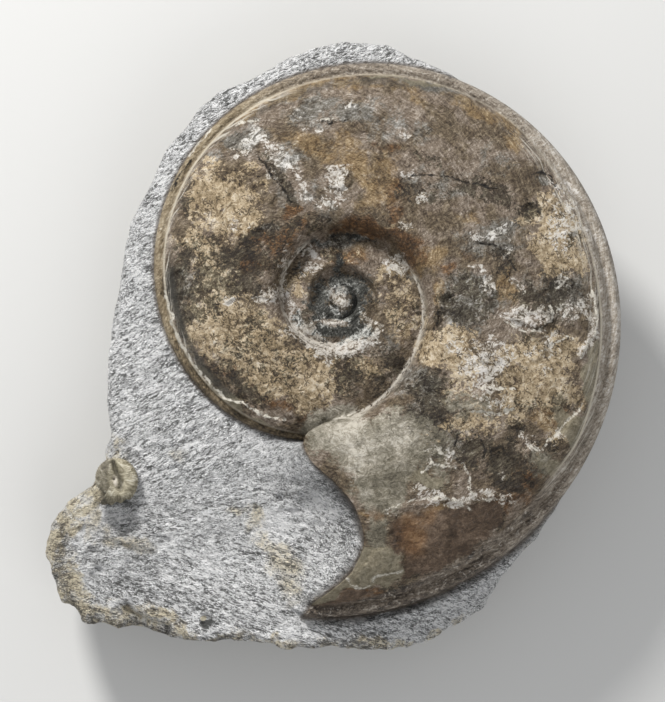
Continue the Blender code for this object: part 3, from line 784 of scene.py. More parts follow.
def plain_top(x, y, away, turn, edge_gap):
    """The slow rise between the shell and the rock's edge."""
    _, level = edge_values(x, y)
    level = ROCK_LEVEL + (level - ROCK_LEVEL) * np.exp(-((edge_gap / 7) ** 2))
    reach = 9 + 25 * smooth(166, 182, turn) * (1 - smooth(236, 262, turn))
    foot = KEEL_PLANE - BEDDED
    rise = foot + (level - foot) * smooth(0, 1, away / reach)
    return rise + 0.5 * grain(x, y, 13, 3.1) + 0.35 * grain(x, y, 5, 8.4)


def mouth_ramp(x, y, away):
    """What the ramp in the mouth adds, and how the rock dips under the rest of the shell."""
    distance, along, _ = near_line(mouth_places, x, y)
    share = CREST + (1 - CREST) * along
    lip = half_width(mouth_angle(share)) * rounded(FLANK, share) - 0.35
    lip = np.maximum(lip * smooth(0.135, 0.19, share), 0)
    ramp = np.clip(1 - distance / RAMP_REACH, 0, 1) ** 2
    under = np.clip(-away - 0.6, 0, 60)
    dip = np.where(distance > 3.0, np.minimum(0.6 * under, 4), 0)
    return lip * np.where(away > 0, ramp, np.clip(1 - distance / 3.0, 0, 1)) - dip


def rock_top(x, y):
    away = shell_gap(x, y)
    turn = turn_of(x, y)
    edge_gap, _, _ = near_line(rim[::4], x, y)
    rise = plain_top(x, y, away, turn, edge_gap) + mouth_ramp(x, y, away) + rock_marks(x, y)
    rise = rise - GROOVE_DEPTH * groove_share(away, turn)
    worked = smooth(0.5, 4, away) * smooth(0.5, 4, edge_gap)
    lower_left = smooth(212, 222, turn) * (1 - smooth(236, 250, turn)) * smooth(14, 30, away)
    ground = 0.9 * grain(x, y, 4.4, 74.0) + 0.45 * grain(x, y, 2.4, 75.0)
    rise = rise + worked * (0.35 + 0.65 * lower_left) * ground
    flat = dish(FLAT_NOTCH[0], FLAT_NOTCH[1], x, y)
    rough = STROKE_HEIGHT * strokes(x, y) * (1 - 0.8 * flat) + 0.08 * grain(x, y, 0.7, 21.3)
    return rise + smooth(0.3, 1.5, away) * (rough + 0.12 * grain(x, y, 1.9, 17.0))


print("height of the rock at one spot:", round(float(rock_top(np.zeros(1), np.full(1, -66.0))[0]), 1))

# %% [markdown]
# Rings of points run down the broken side and under, to the flat spot that the rock rests on. Each is the
# outline, moved in and down, so the side keeps its corners.

# %% rings round the rock
FLAT_SPOT = (38.0, 31.0)
FLAT_CENTRE = (1.0, -11.0)
SIDE_RINGS = 24
UNDER_RINGS = 28
SIDE_DROP = 10.0
FULL_DROP = 27.0
SIDE_ACROSS = [(0.0, 0.0), (0.15, 0.42), (0.35, 0.76), (0.6, 0.94), (1.0, 1.0)]
UNDER_ACROSS = [(0.0, 0.0), (0.14, 0.03), (0.3, 0.12), (0.5, 0.3), (0.75, 0.62), (0.93, 0.92), (1.0, 1.0)]
UNDER_DROP = [(0.0, 10.0), (0.14, 13.2), (0.3, 17.0), (0.5, 20.2), (0.75, 23.4), (0.93, 25.9), (1.0, 27.0)]


def rock_rings():
    inset, level = edge_values(rim[:, 0], rim[:, 1])
    uneven = 0.45 * grain(rim[:, 0], rim[:, 1], 3.2, 30.0) + 0.3 * grain(rim[:, 0], rim[:, 1], 1.1, 31.0)
    edge = rim + inward(rim, 5) * (inset * (1 + uneven))[:, None]
    bearing = np.arctan2(rim[:, 1] - FLAT_CENTRE[1], rim[:, 0] - FLAT_CENTRE[0])
    wave = 1 + 0.05 * np.sin(3 * bearing + 1) + 0.04 * np.sin(5 * bearing)
    base = np.column_stack([
        FLAT_CENTRE[0] + FLAT_SPOT[0] * wave * np.cos(bearing),
        FLAT_CENTRE[1] + FLAT_SPOT[1] * wave * np.sin(bearing),
    ])
    top_z = rock_top(edge[:, 0], edge[:, 1])
    rings = [np.column_stack([edge, top_z])]
    for share in np.linspace(0, 1, SIDE_RINGS + 1)[1:]:
        drop = SIDE_DROP * share**1.5
        low = level * (1 - drop / FULL_DROP) - 0.6 * share
        z = top_z - level * drop / FULL_DROP
        z = z + (low - z) * smooth(0.2, 0.8, share)
        rings.append(np.column_stack([edge + (rim - edge) * rounded(SIDE_ACROSS, share), z]))
    for share in np.linspace(0, 1, UNDER_RINGS + 1)[1:]:
        place = rim + (base - rim) * rounded(UNDER_ACROSS, share)
        z = level * (1 - rounded(UNDER_DROP, share) / FULL_DROP) - 0.6 * (1 - share)
        rings.append(np.column_stack([place, np.maximum(z, 0)]))
    return rings


rings = rock_rings()
print("rings:", len(rings), "of", len(rings[0]), "points")

# %% [markdown]
# A hammer leaves facets with sharp edges, like the gaps between Voronoi cells. Near the top nothing passes
# the outline, so the rock seen from above keeps its shape.

# %% broken sides
LOWEST = 0.35  # only the flat spot touches the ground


def grain3(points, size, seed):
    shift = Vector((seed, seed * 1.7, -seed))
    return np.array([noise.noise(Vector(p) / size + shift) for p in points])


def facets(points, size, seed):
    """Flat chips with sharp edges between them, 0 to about 1."""
    shift = Vector((seed, -seed, seed * 0.6))
    made = [noise.noise(Vector(p) / size + shift, noise_basis="VORONOI_F2F1") for p in points]
    return np.array(made)


def broken_rings(rings):
    normal = inward(rim, 5)
    last = len(rings) - 1
    made = [rings[0]]
    for k in range(1, last):
        points = rings[k].copy()
        share = k / last
        end = 1 - smooth(0.93, 1.0, share)
        chips = 1.6 * facets(points, 6.5, 2.0) + 0.7 * facets(points, 2.6, 5.0)
        lumps = 0.8 * grain3(points, 9, 3.0) + 0.25 * grain3(points, 1.6, 6.0)
        lumps = lumps + 0.1 * grain3(points, 0.7, 8.0)
        push = smooth(0, 0.3, share) * end * (chips * 0.8 - lumps - 0.2)
        room = np.hypot(*(rim - points[:, :2]).T) * 0.9 if share < 0.45 else 0
        points[:, :2] += normal * np.maximum(push, -room)[:, None]
        points[:, 2] += smooth(0.5, 0.7, share) * end * (1.1 * chips + 0.6 * lumps)
        points[:, 2] = np.maximum(points[:, 2], LOWEST)
        made.append(points)
    made.append(rings[-1] * (1, 1, 0))
    return made


rings = broken_rings(rings)
print("lowest point of the side:", round(float(min(ring[:, 2].min() for ring in rings[:-1])), 2), "mm")

# %% [markdown]
# The top is filled with points, close together where the rock shows. Blender's Delaunay helper joins them to
# the top ring, so the rock is one closed skin.

# %% the rock's top and mesh
TOP_SPACING = 0.36
HIDDEN_SPACING = 3.2
GRID_REACH = 85
GRID_CENTRE = (-2.0, -10.0)


def top_grid(edge):
    """Points inside the top edge, in rows set off by half a step."""
    kept = []
    for spacing, shown in ((TOP_SPACING, True), (HIDDEN_SPACING, False)):
        half = int(GRID_REACH / spacing)
        row, col = np.mgrid[-half:half + 1, -half:half + 1]
        x = ((col + 0.5 * (row % 2)) * spacing).ravel() + GRID_CENTRE[0]
        y = (row * spacing * 0.87).ravel() + GRID_CENTRE[1]
        away = shell_gap(x, y)
        wanted = away > -1.2 if shown else away < -3.5
        x = x[wanted]
        y = y[wanted]
        inner = inside_loop(x, y, edge)
        x = x[inner]
        y = y[inner]
        near = np.full(len(x), 1e9)
        for a in edge[::2]:
            near = np.minimum(near, np.hypot(x - a[0], y - a[1]))
        far = near > 0.62 * max(spacing, 0.6)
        kept.append(np.column_stack([x[far], y[far]]))
    return np.vstack(kept)


edge = rings[0][:, :2]
grid = top_grid(edge)


def side_faces(count):
    """Four-sided faces between the rings, and one face for the flat spot."""
    faces = []
    for start in range(0, (len(rings) - 1) * count, count):
        for i in range(count):
            j = (i + 1) % count
            faces.append((start + j, start + count + j, start + count + i, start + i))
    faces.append(tuple(range((len(rings) - 1) * count, len(rings) * count)))
    return faces


def rock_mesh():
    count = len(rim)
    corners = [Vector(p) for p in edge] + [Vector(p) for p in grid]
    made = geometry.delaunay_2d_cdt(corners, [], [list(range(count))], 1, 1e-6)
    placed, triangles, origins = made[0], made[2], made[3]
    lookup = []
    extra = []
    for k, source in enumerate(origins):
        if source and source[0] < count:
            lookup.append(source[0])
        else:
            lookup.append(len(rings) * count + len(extra))
            extra.append((placed[k].x, placed[k].y))
    extra = np.array(extra)
    top = np.column_stack([extra, rock_top(extra[:, 0], extra[:, 1])])
    faces = side_faces(count) + [tuple(lookup[i] for i in t) for t in triangles]
    return np.vstack([*rings, top]), faces


rock_points, rock_faces = rock_mesh()
rock_piece = new_piece("stone", rock_points, rock_faces)
print("rock triangles:", sum(len(f) - 2 for f in rock_faces))
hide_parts("matrix_stone")
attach(rock_piece, "root")

# %% [markdown]
# Another ammonite, only 11 mm across, sits on the rock's edge: a finely ribbed tube swept round a tightening
# spiral. Its comma-shaped hollow doesn't follow the spiral, so it is pressed in afterwards.

# %% the small shell
SMALL_CENTRE = (-50.0, -39.2)
SMALL_LEVEL = 26.0
SMALL_RADIUS = 6.3
SMALL_CREST = 2.6
SMALL_DEPTH = 2.3
SMALL_GROWTH = 0.6  # each turn inwards is this much smaller
SMALL_HOLE = 0.03
SMALL_COMMA = from_photo([(113, 462), (115, 470), (118, 476), (121, 482), (120, 488)])
SMALL_BROKEN = -5.3  # the line below its centre where the whorl is broken off
SMALL_MOUTH = 205
SMALL_TURNS = 2.0
SMALL_RIBS = 50
SMALL_COLUMNS = 300
SMALL_ROWS = 30


def small_point(back, around):
    """A point of the tube: how many turns back from the mouth, and the angle round the tube."""
    size = SMALL_GROWTH**back
    outer = SMALL_RADIUS * size
    inner = outer * SMALL_HOLE
    wide = math.cos(around)
    high = math.sin(around)
    rib = math.cos(2 * math.pi * SMALL_RIBS * back)
    swell = 1 + 0.06 * rib * smooth(-0.7, 0.4, wide)
    radius = (outer + inner) / 2 + (outer - inner) / 2 * wide * swell
    x, y = spots(SMALL_MOUTH + 360 - 360 * back + 7 * wide**2, radius)
    broken = SMALL_BROKEN + 0.3 * math.sin(3 * x) + 0.25 * x
    y = broken + 0.15 * (y - broken) if y < broken else y
    crest = SMALL_CREST * size * math.exp(-0.75 * back)
    z = crest * high * swell if high > 0 else SMALL_DEPTH * high * (0.4 + 0.6 * size)
    z -= (1 - size) * 0.3
    return x + SMALL_CENTRE[0], y + SMALL_CENTRE[1], z + SMALL_LEVEL


def small_mesh():
    columns = SMALL_COLUMNS
    rows = SMALL_ROWS
    points = []
    for k in range(columns + 1):
        back = (columns - k) / columns * SMALL_TURNS
        points += [small_point(back, 2 * math.pi * j / rows) for j in range(rows)]
    faces = []
    for k in range(columns):
        for j in range(rows):
            n = (j + 1) % rows
            faces.append((k * rows + j, k * rows + n, (k + 1) * rows + n, (k + 1) * rows + j))
    faces.append(tuple(range(rows))[::-1])
    faces.append(tuple(columns * rows + j for j in range(rows)))
    return np.array(points), faces


def comma_hollow(points):
    """The deep comma between the last whorl and the flatter, broken left half."""
    x, y, z = points.T
    gap, _, _ = near_line(SMALL_COMMA, x, y)
    high = np.maximum(z - SMALL_LEVEL, 0)
    low = high * (1 - 0.3 * smooth(0.2, 2.5, SMALL_CENTRE[0] - x))
    low = low * (1 - 0.75 * np.exp(-((gap / 0.6) ** 2)))
    return np.column_stack([x, y, z - high + low])


small_points, small_faces = small_mesh()
small_points = comma_hollow(small_points)
small_piece = new_piece("small_shell", small_points, small_faces)
print("small shell triangles:", sum(len(f) - 2 for f in small_faces))
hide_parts("small_ammonite")
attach(small_piece, "root")

# %% [markdown]
# Every finish is made of shader nodes. Colours are written as they look on screen and turned into the linear
# values that the renderer adds up. One helper puts down a node and plugs in what it is given.

# %% helpers for shader nodes
def colour(red, green, blue):
    """A screen colour as linear values."""
    made = []
    for part in (red, green, blue):
        part = part / 255
        made.append(part / 12.92 if part <= 0.04045 else ((part + 0.055) / 1.055) ** 2.4)
    return (*made, 1.0)


def plug(tree, socket, value):
    if isinstance(value, bpy.types.NodeSocket):
        tree.links.new(value, socket)
    elif value is not None:
        socket.default_value = value


def put(tree, kind, inputs=None, **settings):
    made = tree.nodes.new(kind)
    for name, value in settings.items():
        setattr(made, name, value)
    for name, value in (inputs or {}).items():
        plug(tree, made.inputs[name], value)
    return made


print("middle grey as a linear value:", round(colour(128, 128, 128)[0], 3))

# %% [markdown]
# Most of a finish is sums, and these helpers make the nodes read like sums.

# %% sums of values and vectors
def sums(tree, operation, first, second=0.0, third=None):
    inputs = {0: first, 1: second, 2: third}
    return put(tree, "ShaderNodeMath", inputs, operation=operation).outputs[0]


def times(tree, first, second):
    return sums(tree, "MULTIPLY", first, second)


def plus(tree, first, second):
    return sums(tree, "ADD", first, second)


def minus(tree, first, second):
    return sums(tree, "SUBTRACT", first, second)


def weigh(tree, value, weight, base):
    """The base, plus the value times its weight."""
    return sums(tree, "MULTIPLY_ADD", value, weight, base)


def size_of(tree, value):
    """The value without its sign."""
    return sums(tree, "ABSOLUTE", value)


def vectors(tree, operation, first, second):
    return put(tree, "ShaderNodeVectorMath", {0: first, 1: second}, operation=operation).outputs[0]


def scaled(tree, vector, factor):
    inputs = {0: vector, "Scale": factor}
    return put(tree, "ShaderNodeVectorMath", inputs, operation="SCALE").outputs[0]


def turned(tree, vector, angle):
    """The vector turned about Z, by radians."""
    inputs = {"Vector": vector, "Angle": angle}
    return put(tree, "ShaderNodeVectorRotate", inputs, rotation_type="Z_AXIS").outputs[0]


print("sums of:", "values", "vectors")

# %% [markdown]
# More helpers mix colours, cut a soft step, and turn a tone into a colour. The lights are strong, so that the
# rough rock can glint, and the dimmer keeps the smooth shells from coming out too pale.

# %% mixes, steps and runs of colours
DIMMER = (0.667, 0.667, 0.667, 1.0)


def blend(tree, factor, under, over, kind="MIX"):
    made = put(tree, "ShaderNodeMix", data_type="RGBA", blend_type=kind)
    plug(tree, made.inputs[0], factor)
    plug(tree, made.inputs[6], under)
    plug(tree, made.inputs[7], over)
    return made.outputs[2]


def soft_step(tree, value, low, high):
    made = put(tree, "ShaderNodeMapRange", {0: value, 1: low, 2: high}, interpolation_type="SMOOTHSTEP")
    return made.outputs[0]


def colour_run(tree, value, *stops):
    """Colours along 0 to 1, each given as (place, colour)."""
    made = put(tree, "ShaderNodeValToRGB", {0: value})
    marks = made.color_ramp.elements
    while len(marks) < len(stops):
        marks.new(0.5)
    for mark, (place, shade) in zip(marks, stops):
        mark.position = place
        mark.color = shade
    return made.outputs[0]


def palette(tree, tone, shades):
    """Colours spread evenly from dark to light."""
    last = len(shades) - 1
    return colour_run(tree, tone, *[(k / last, colour(*shade)) for k, shade in enumerate(shades)])


def paint(tree, skin, mask, strength, shade, kind="MIX"):
    """One colour over the skin, where the mask is, at most this strong."""
    return blend(tree, times(tree, mask, strength), skin, colour(*shade), kind)


print("shells dimmed to", DIMMER[0])

# %% [markdown]
# Natural patterns come from noise, in millimetres. A pattern that more than one finish could use is a node
# group with named inputs, built once.

# %% places, noise, stored fields and groups
def field(tree, name):
    return put(tree, "ShaderNodeAttribute", attribute_name=name, attribute_type="GEOMETRY").outputs["Fac"]


def in_millimetres(tree):
    return scaled(tree, put(tree, "ShaderNodeTexCoord").outputs["Object"], 1000.0)


def noise_of(tree, place, size, detail=3.0, rough=0.55, bend=0.0):
    """Noise whose lumps are about this many units across, 0 to 1."""
    made = put(
        tree, "ShaderNodeTexNoise",
        {"Vector": place, "Scale": 1 / size, "Detail": detail, "Roughness": rough, "Distortion": bend},
    )
    return made.outputs[0]


def stretched(tree, value, low=0.33, high=0.67):
    """Noise keeps near 0.5, and this spreads it over 0 to 1."""
    return put(tree, "ShaderNodeMapRange", {0: value, 1: low, 2: high}).outputs[0]


def wander(tree, place, reach, **settings):
    """The place, pushed about by noise."""
    push = put(tree, "ShaderNodeTexNoise", {"Vector": place, **settings}).outputs["Color"]
    push = vectors(tree, "SUBTRACT", push, (0.5, 0.5, 0.5))
    return vectors(tree, "ADD", place, scaled(tree, push, reach))


def new_group(name, inputs, outputs):
    """An empty group that takes a place and named numbers: its tree, what it is given, what it gives."""
    tree = bpy.data.node_groups.new(name, "ShaderNodeTree")
    tree.interface.new_socket(name="Place", in_out="INPUT", socket_type="NodeSocketVector")
    for label, value in inputs.items():
        socket = tree.interface.new_socket(name=label, in_out="INPUT", socket_type="NodeSocketFloat")
        socket.default_value = value
    for label in outputs:
        tree.interface.new_socket(name=label, in_out="OUTPUT", socket_type="NodeSocketFloat")
    return tree, tree.nodes.new("NodeGroupInput").outputs, tree.nodes.new("NodeGroupOutput").inputs


def use_group(tree, group, **inputs):
    return put(tree, "ShaderNodeGroup", inputs, node_tree=group).outputs


print("groups so far:", len(bpy.data.node_groups))

# %% [markdown]
# Minerals grew into one another, so their colours meet along ragged edges. Noise is added to a soft patch's
# amount, and a steep step cuts the sum.

# %% group: ragged edge
def ragged_edge_group():
    inputs = {"Amount": 0.0, "Shift": 0.0, "Coarse": 0.5, "Fine": 0.4, "Softness": 0.1}
    tree, given, made = new_group("ragged edge", inputs, ["Mask"])
    moved = vectors(tree, "ADD", given["Place"], given["Shift"])
    coarse = stretched(tree, noise_of(tree, moved, 4.0, 2.0, 0.5, 0.6))
    fine = stretched(tree, noise_of(tree, moved, 1.1, 4.0, 0.62, 1.2))
    bent = times(tree, minus(tree, coarse, 0.5), given["Coarse"])
    bent = weigh(tree, minus(tree, fine, 0.5), given["Fine"], bent)
    there = soft_step(tree, given["Amount"], 0.0, 0.3)
    worn_edge = weigh(tree, bent, there, given["Amount"])
    low = minus(tree, 0.5, given["Softness"])
    high = plus(tree, 0.5, given["Softness"])
    plug(tree, made["Mask"], soft_step(tree, worn_edge, low, high))
    return tree


def frayed(tree, place, name, shift, coarse, fine, soft):
    """A stored field with a ragged edge."""
    return use_group(
        tree, ragged_edge, Place=place, Amount=field(tree, name), Shift=shift, Coarse=coarse, Fine=fine,
        Softness=soft,
    )["Mask"]


ragged_edge = ragged_edge_group()
print("group:", ragged_edge.name)

# %% [markdown]
# Shell that has turned to crystal looks fibrous. Noise that is squeezed across and bent by slower noise gives
# such wisps, and in the shell's own coordinates they follow the coil.

# %% group: fibres
def fibres_group():
    inputs = {"Length": 3.0, "Width": 0.6, "Lean": 0.0, "Bend": 1.0}
    tree, given, made = new_group("fibres", inputs, ["Streaks", "Threads"])
    moved = wander(tree, given["Place"], times(tree, given["Bend"], 5.0), Scale=0.22, Detail=1.0)
    parts = put(tree, "ShaderNodeSeparateXYZ", {0: turned(tree, moved, given["Lean"])}).outputs
    along = sums(tree, "DIVIDE", parts[0], given["Length"])
    across = sums(tree, "DIVIDE", parts[1], given["Width"])
    squeezed = put(tree, "ShaderNodeCombineXYZ", {0: along, 1: across}).outputs[0]
    threads = noise_of(tree, squeezed, 0.7, 2.0, 0.55, 0.8)
    ridge = size_of(tree, minus(tree, threads, 0.5))
    plug(tree, made["Streaks"], noise_of(tree, squeezed, 1.0, 4.0, 0.66, 0.35))
    plug(tree, made["Threads"], soft_step(tree, ridge, 0.035, 0.0))
    return tree


fibres = fibres_group()
print("group:", fibres.name)

# %% [markdown]
# The crystals grew in flakes a millimetre or three across, each lighter or darker than the next. Voronoi
# cells in a place that noise has pushed about look like that.

# %% group: flakes
def flakes_group():
    tree, given, made = new_group("flakes", {"Size": 2.0, "Warp": 0.8}, ["Shade", "Seams"])
    sized = vectors(tree, "DIVIDE", given["Place"], given["Size"])
    reach = times(tree, given["Warp"], 3.0)
    moved = wander(tree, sized, reach, Scale=1.3, Detail=4.0, Roughness=0.68)
    cells = {"Vector": moved, "Scale": 1.0}
    shade = put(tree, "ShaderNodeTexVoronoi", cells).outputs["Color"]
    gap = put(tree, "ShaderNodeTexVoronoi", cells, feature="DISTANCE_TO_EDGE").outputs["Distance"]
    plug(tree, made["Shade"], put(tree, "ShaderNodeSeparateColor", {0: shade}).outputs[0])
    plug(tree, made["Seams"], soft_step(tree, gap, 0.16, 0.02))
    return tree


flakes_nodes = flakes_group()
print("group:", flakes_nodes.name)

# %% [markdown]
# Manganese and iron crept through the cream calcite as tiny dark stars. A Voronoi pattern gives their
# centres, the angle round each makes the arms, and a random value the size.

# %% group: dendrites
def dendrites_group():
    tree, given, made = new_group("dendrites", {"Size": 1.3, "Density": 0.6, "Arms": 3.0}, ["Stars"])
    sized = vectors(tree, "DIVIDE", given["Place"], given["Size"])
    moved = wander(tree, sized, 0.75, Scale=1.7, Detail=3.0)
    cells = put(tree, "ShaderNodeTexVoronoi", {"Vector": moved, "Scale": 1.0, "Randomness": 1.0}).outputs
    off = vectors(tree, "SUBTRACT", moved, cells["Position"])
    parts = put(tree, "ShaderNodeSeparateXYZ", {0: off}).outputs
    chance = put(tree, "ShaderNodeSeparateColor", {0: cells["Color"]}).outputs
    around = sums(tree, "ARCTAN2", parts[1], parts[0])
    spin = times(tree, chance[1], 6.28)
    wave = sums(tree, "SINE", weigh(tree, around, given["Arms"], spin))
    there = soft_step(tree, chance[0], plus(tree, given["Density"], 0.12), given["Density"])
    reach = times(tree, weigh(tree, chance[2], 0.5, 0.65), weigh(tree, wave, 0.2, 0.27))
    near = minus(tree, times(tree, reach, there), cells["Distance"])
    plug(tree, made["Stars"], soft_step(tree, near, -0.05, 0.09))
    return tree


dendrites = dendrites_group()
print("group:", dendrites.name)

# %% [markdown]
# The air pen's point leaves short scale-like strokes, bright along one edge and dark behind it. Long thin
# noise, turned to the way the tool ran, gives their height.

# %% group: tool strokes
def strokes_group():
    tree, given, made = new_group("tool strokes", {"Turn": 0.0, "Size": 1.0}, ["Height"])
    sized = vectors(tree, "DIVIDE", turned(tree, given["Place"], given["Turn"]), given["Size"])
    squeezed = vectors(tree, "MULTIPLY", sized, (0.42, 1.4, 1.0))
    broad = stretched(tree, noise_of(tree, squeezed, 1.15, 4.0, 0.66, 0.6), 0.27, 0.76)
    thin = noise_of(tree, squeezed, 0.8, 2.0, 0.6, 1.0)
    crest = soft_step(tree, size_of(tree, minus(tree, thin, 0.5)), 0.07, 0.0)
    fine = stretched(tree, noise_of(tree, squeezed, 0.42, 3.0, 0.7, 0.8), 0.28, 0.74)
    both = weigh(tree, broad, 0.62, times(tree, crest, 0.42))
    plug(tree, made["Height"], weigh(tree, fine, 0.5, minus(tree, both, 0.24)))
    return tree


tool_strokes = strokes_group()
print("group:", tool_strokes.name)

# %% [markdown]
# Where each mineral lies can't come from noise. A patch is an ellipse, listed one by one: its centre in the
# reference picture, its half length and half width in pixels, its tilt and its strength.

# %% minerals on the large shell
CREAM = [
    (226, 203, 44, 36, -38, 1.0), (205, 180, 20, 12, 40, 0.9), (246, 168, 18, 9, 20, 0.6),
    (248, 345, 66, 38, -35, 0.92), (212, 326, 24, 30, 0, 0.75), (208, 262, 40, 20, -40, 0.85),
    (190, 245, 16, 12, 0, 0.6), (225, 288, 30, 16, -20, 0.5), (285, 378, 50, 26, -25, 0.85),
    (318, 380, 30, 24, 10, 1.0), (300, 395, 30, 12, -10, 0.7), (545, 203, 16, 10, 60, 0.9),
    (558, 228, 28, 20, 65, 1.0), (560, 256, 26, 26, 50, 1.2), (526, 218, 14, 9, 30, 0.7),
    (540, 238, 24, 14, 60, 0.85), (448, 344, 30, 20, 15, 0.9), (535, 376, 50, 34, -35, 0.88),
    (560, 350, 20, 22, 0, 0.7), (500, 412, 40, 20, 0, 0.6), (452, 386, 22, 20, 0, 0.45),
    (470, 362, 30, 14, 0, 0.5), (555, 430, 16, 14, 40, 0.5), (406, 318, 16, 20, 20, 0.6),
    (390, 290, 22, 26, 0, 0.45), (430, 355, 12, 14, 0, 0.7), (300, 278, 10, 10, 0, 0.8),
    (300, 292, 12, 8, 0, 0.8), (353, 255, 10, 8, 0, 0.4), (365, 368, 20, 6, -10, 0.7),
    (326, 252, 10, 8, 40, 0.4), (520, 345, 20, 16, 0, 0.6), (398, 330, 14, 12, 0, 0.5),
    (470, 425, 40, 12, 0, 0.5), (420, 440, 20, 12, 0, 0.35), (400, 225, 20, 6, 0, 0.3),
]
GOLD = [
    (262, 104, 40, 9, 30, 0.95), (300, 84, 30, 8, 14, 0.85), (345, 80, 30, 7, 0, 0.7),
    (318, 146, 46, 16, -8, 0.8), (352, 163, 20, 10, 0, 0.8), (378, 182, 18, 28, 15, 0.85),
    (366, 208, 16, 12, 0, 0.6), (243, 229, 14, 10, 0, 0.9), (478, 113, 36, 9, -30, 1.0),
    (512, 136, 22, 10, -50, 0.85), (506, 288, 11, 22, 5, 0.95), (563, 232, 10, 8, 0, 0.9),
    (448, 342, 26, 16, 0, 0.7), (370, 513, 18, 8, -15, 0.95), (425, 262, 26, 14, 40, 0.75),
    (540, 395, 40, 26, -30, 0.6), (548, 418, 16, 14, 0, 0.7), (420, 100, 16, 6, 0, 0.5),
    (400, 90, 30, 6, 0, 0.4), (466, 222, 18, 8, 20, 0.5), (330, 372, 26, 16, 0, 0.35),
    (436, 300, 8, 20, 0, 0.8), (476, 396, 30, 10, -10, 0.5), (520, 350, 18, 14, 0, 0.4),
    (346, 252, 26, 8, 0, 0.5), (404, 552, 12, 24, 20, 0.6), (440, 512, 16, 8, 0, 0.6),
    (235, 335, 30, 20, 0, 0.3), (360, 365, 14, 6, 0, 0.5), (505, 120, 10, 20, -50, 0.6),
]
# Rust, and painted shadow: the patches at (350, 228), (378, 232), (412, 252) and (345, 256) darken the top of
# the umbilicus, under its upper wall.
RUST_AND_SHADE = [
    (347, 160, 10, 6, 0, 0.6), (291, 214, 8, 8, 0, 0.85), (253, 267, 18, 9, 0, 0.85),
    (262, 244, 22, 14, 20, 0.45), (505, 500, 34, 20, 45, 0.5), (245, 385, 50, 14, -30, 0.35),
    (386, 150, 14, 10, 0, 0.5), (447, 270, 10, 8, 0, 0.6), (378, 232, 46, 10, -12, 0.85),
    (412, 252, 14, 22, 30, 0.75), (350, 228, 30, 7, 4, 0.7), (345, 256, 26, 9, 0, 0.55),
    (283, 250, 18, 14, 40, 0.4), (394, 200, 14, 24, 0, 0.5), (556, 412, 16, 12, 0, 0.6),
    (290, 232, 30, 8, 30, 0.6), (406, 330, 12, 8, 0, 0.5), (530, 470, 16, 20, 40, 0.5),
    (300, 410, 40, 8, -15, 0.5), (355, 598, 40, 8, 12, 0.7), (470, 255, 10, 6, 0, 0.4),
]
MOSS = [
    (466, 530, 40, 22, 30, 0.75), (425, 570, 50, 12, 25, 0.7), (392, 470, 20, 26, 0, 0.45),
    (420, 440, 20, 16, 0, 0.4), (436, 480, 30, 10, 0, 0.5), (178, 285, 12, 40, -6, 1.0),
    (192, 306, 20, 22, 0, 0.7), (236, 284, 30, 14, 0, 0.85), (212, 300, 16, 20, 0, 0.7),
    (284, 190, 7, 26, 22, 0.9), (264, 160, 16, 9, -35, 0.75), (188, 206, 8, 16, 20, 0.7),
    (256, 238, 20, 14, 35, 0.85), (280, 234, 16, 14, 0, 0.7), (240, 262, 34, 14, 0, 0.65),
    (256, 389, 26, 12, -20, 0.6), (345, 376, 18, 24, 10, 0.8), (384, 366, 26, 24, 0, 0.6),
    (476, 190, 36, 9, -10, 0.8), (424, 160, 22, 10, -10, 0.55), (506, 200, 20, 10, -20, 0.7),
    (470, 300, 36, 30, 0, 0.75), (540, 300, 32, 22, -15, 0.8), (548, 288, 22, 24, 0, 0.3),
    (524, 300, 14, 20, 0, 0.5), (540, 330, 30, 8, 10, 0.7), (430, 398, 22, 28, 0, 0.9),
    (470, 450, 19, 21, 0, 1.0), (508, 466, 28, 28, 30, 1.0), (516, 429, 10, 9, 0, 0.85),
    (560, 404, 18, 10, -35, 0.75), (572, 238, 6, 6, 0, 0.9), (529, 210, 8, 9, 30, 0.7),
    (498, 262, 24, 8, -50, 0.5), (302, 246, 18, 20, 30, 0.3), (404, 512, 12, 6, 0, 0.5),
    (455, 420, 24, 14, 0, 0.5), (215, 262, 40, 22, -20, 0.5), (230, 380, 46, 16, -32, 0.5),
    (270, 350, 60, 40, -30, 0.3), (180, 340, 10, 30, -20, 0.5), (532, 405, 14, 10, 0, 0.45),
    (410, 418, 30, 14, 0, 0.4), (332, 250, 14, 14, 0, 0.6), (316, 222, 16, 12, 20, 0.4),
    (540, 445, 14, 10, 0, 0.4), (436, 318, 7, 14, 8, 1.0), (446, 300, 7, 6, 0, 1.0),
    (402, 315, 16, 18, 0, 0.4), (306, 318, 14, 14, 30, 0.7), (394, 380, 14, 26, -45, 0.5),
    (420, 195, 40, 14, 0, 0.35), (500, 262, 20, 12, 0, 0.25), (270, 262, 20, 20, 0, 0.6),
    (205, 280, 20, 14, 0, 0.6), (560, 210, 6, 20, 20, 0.3),
]
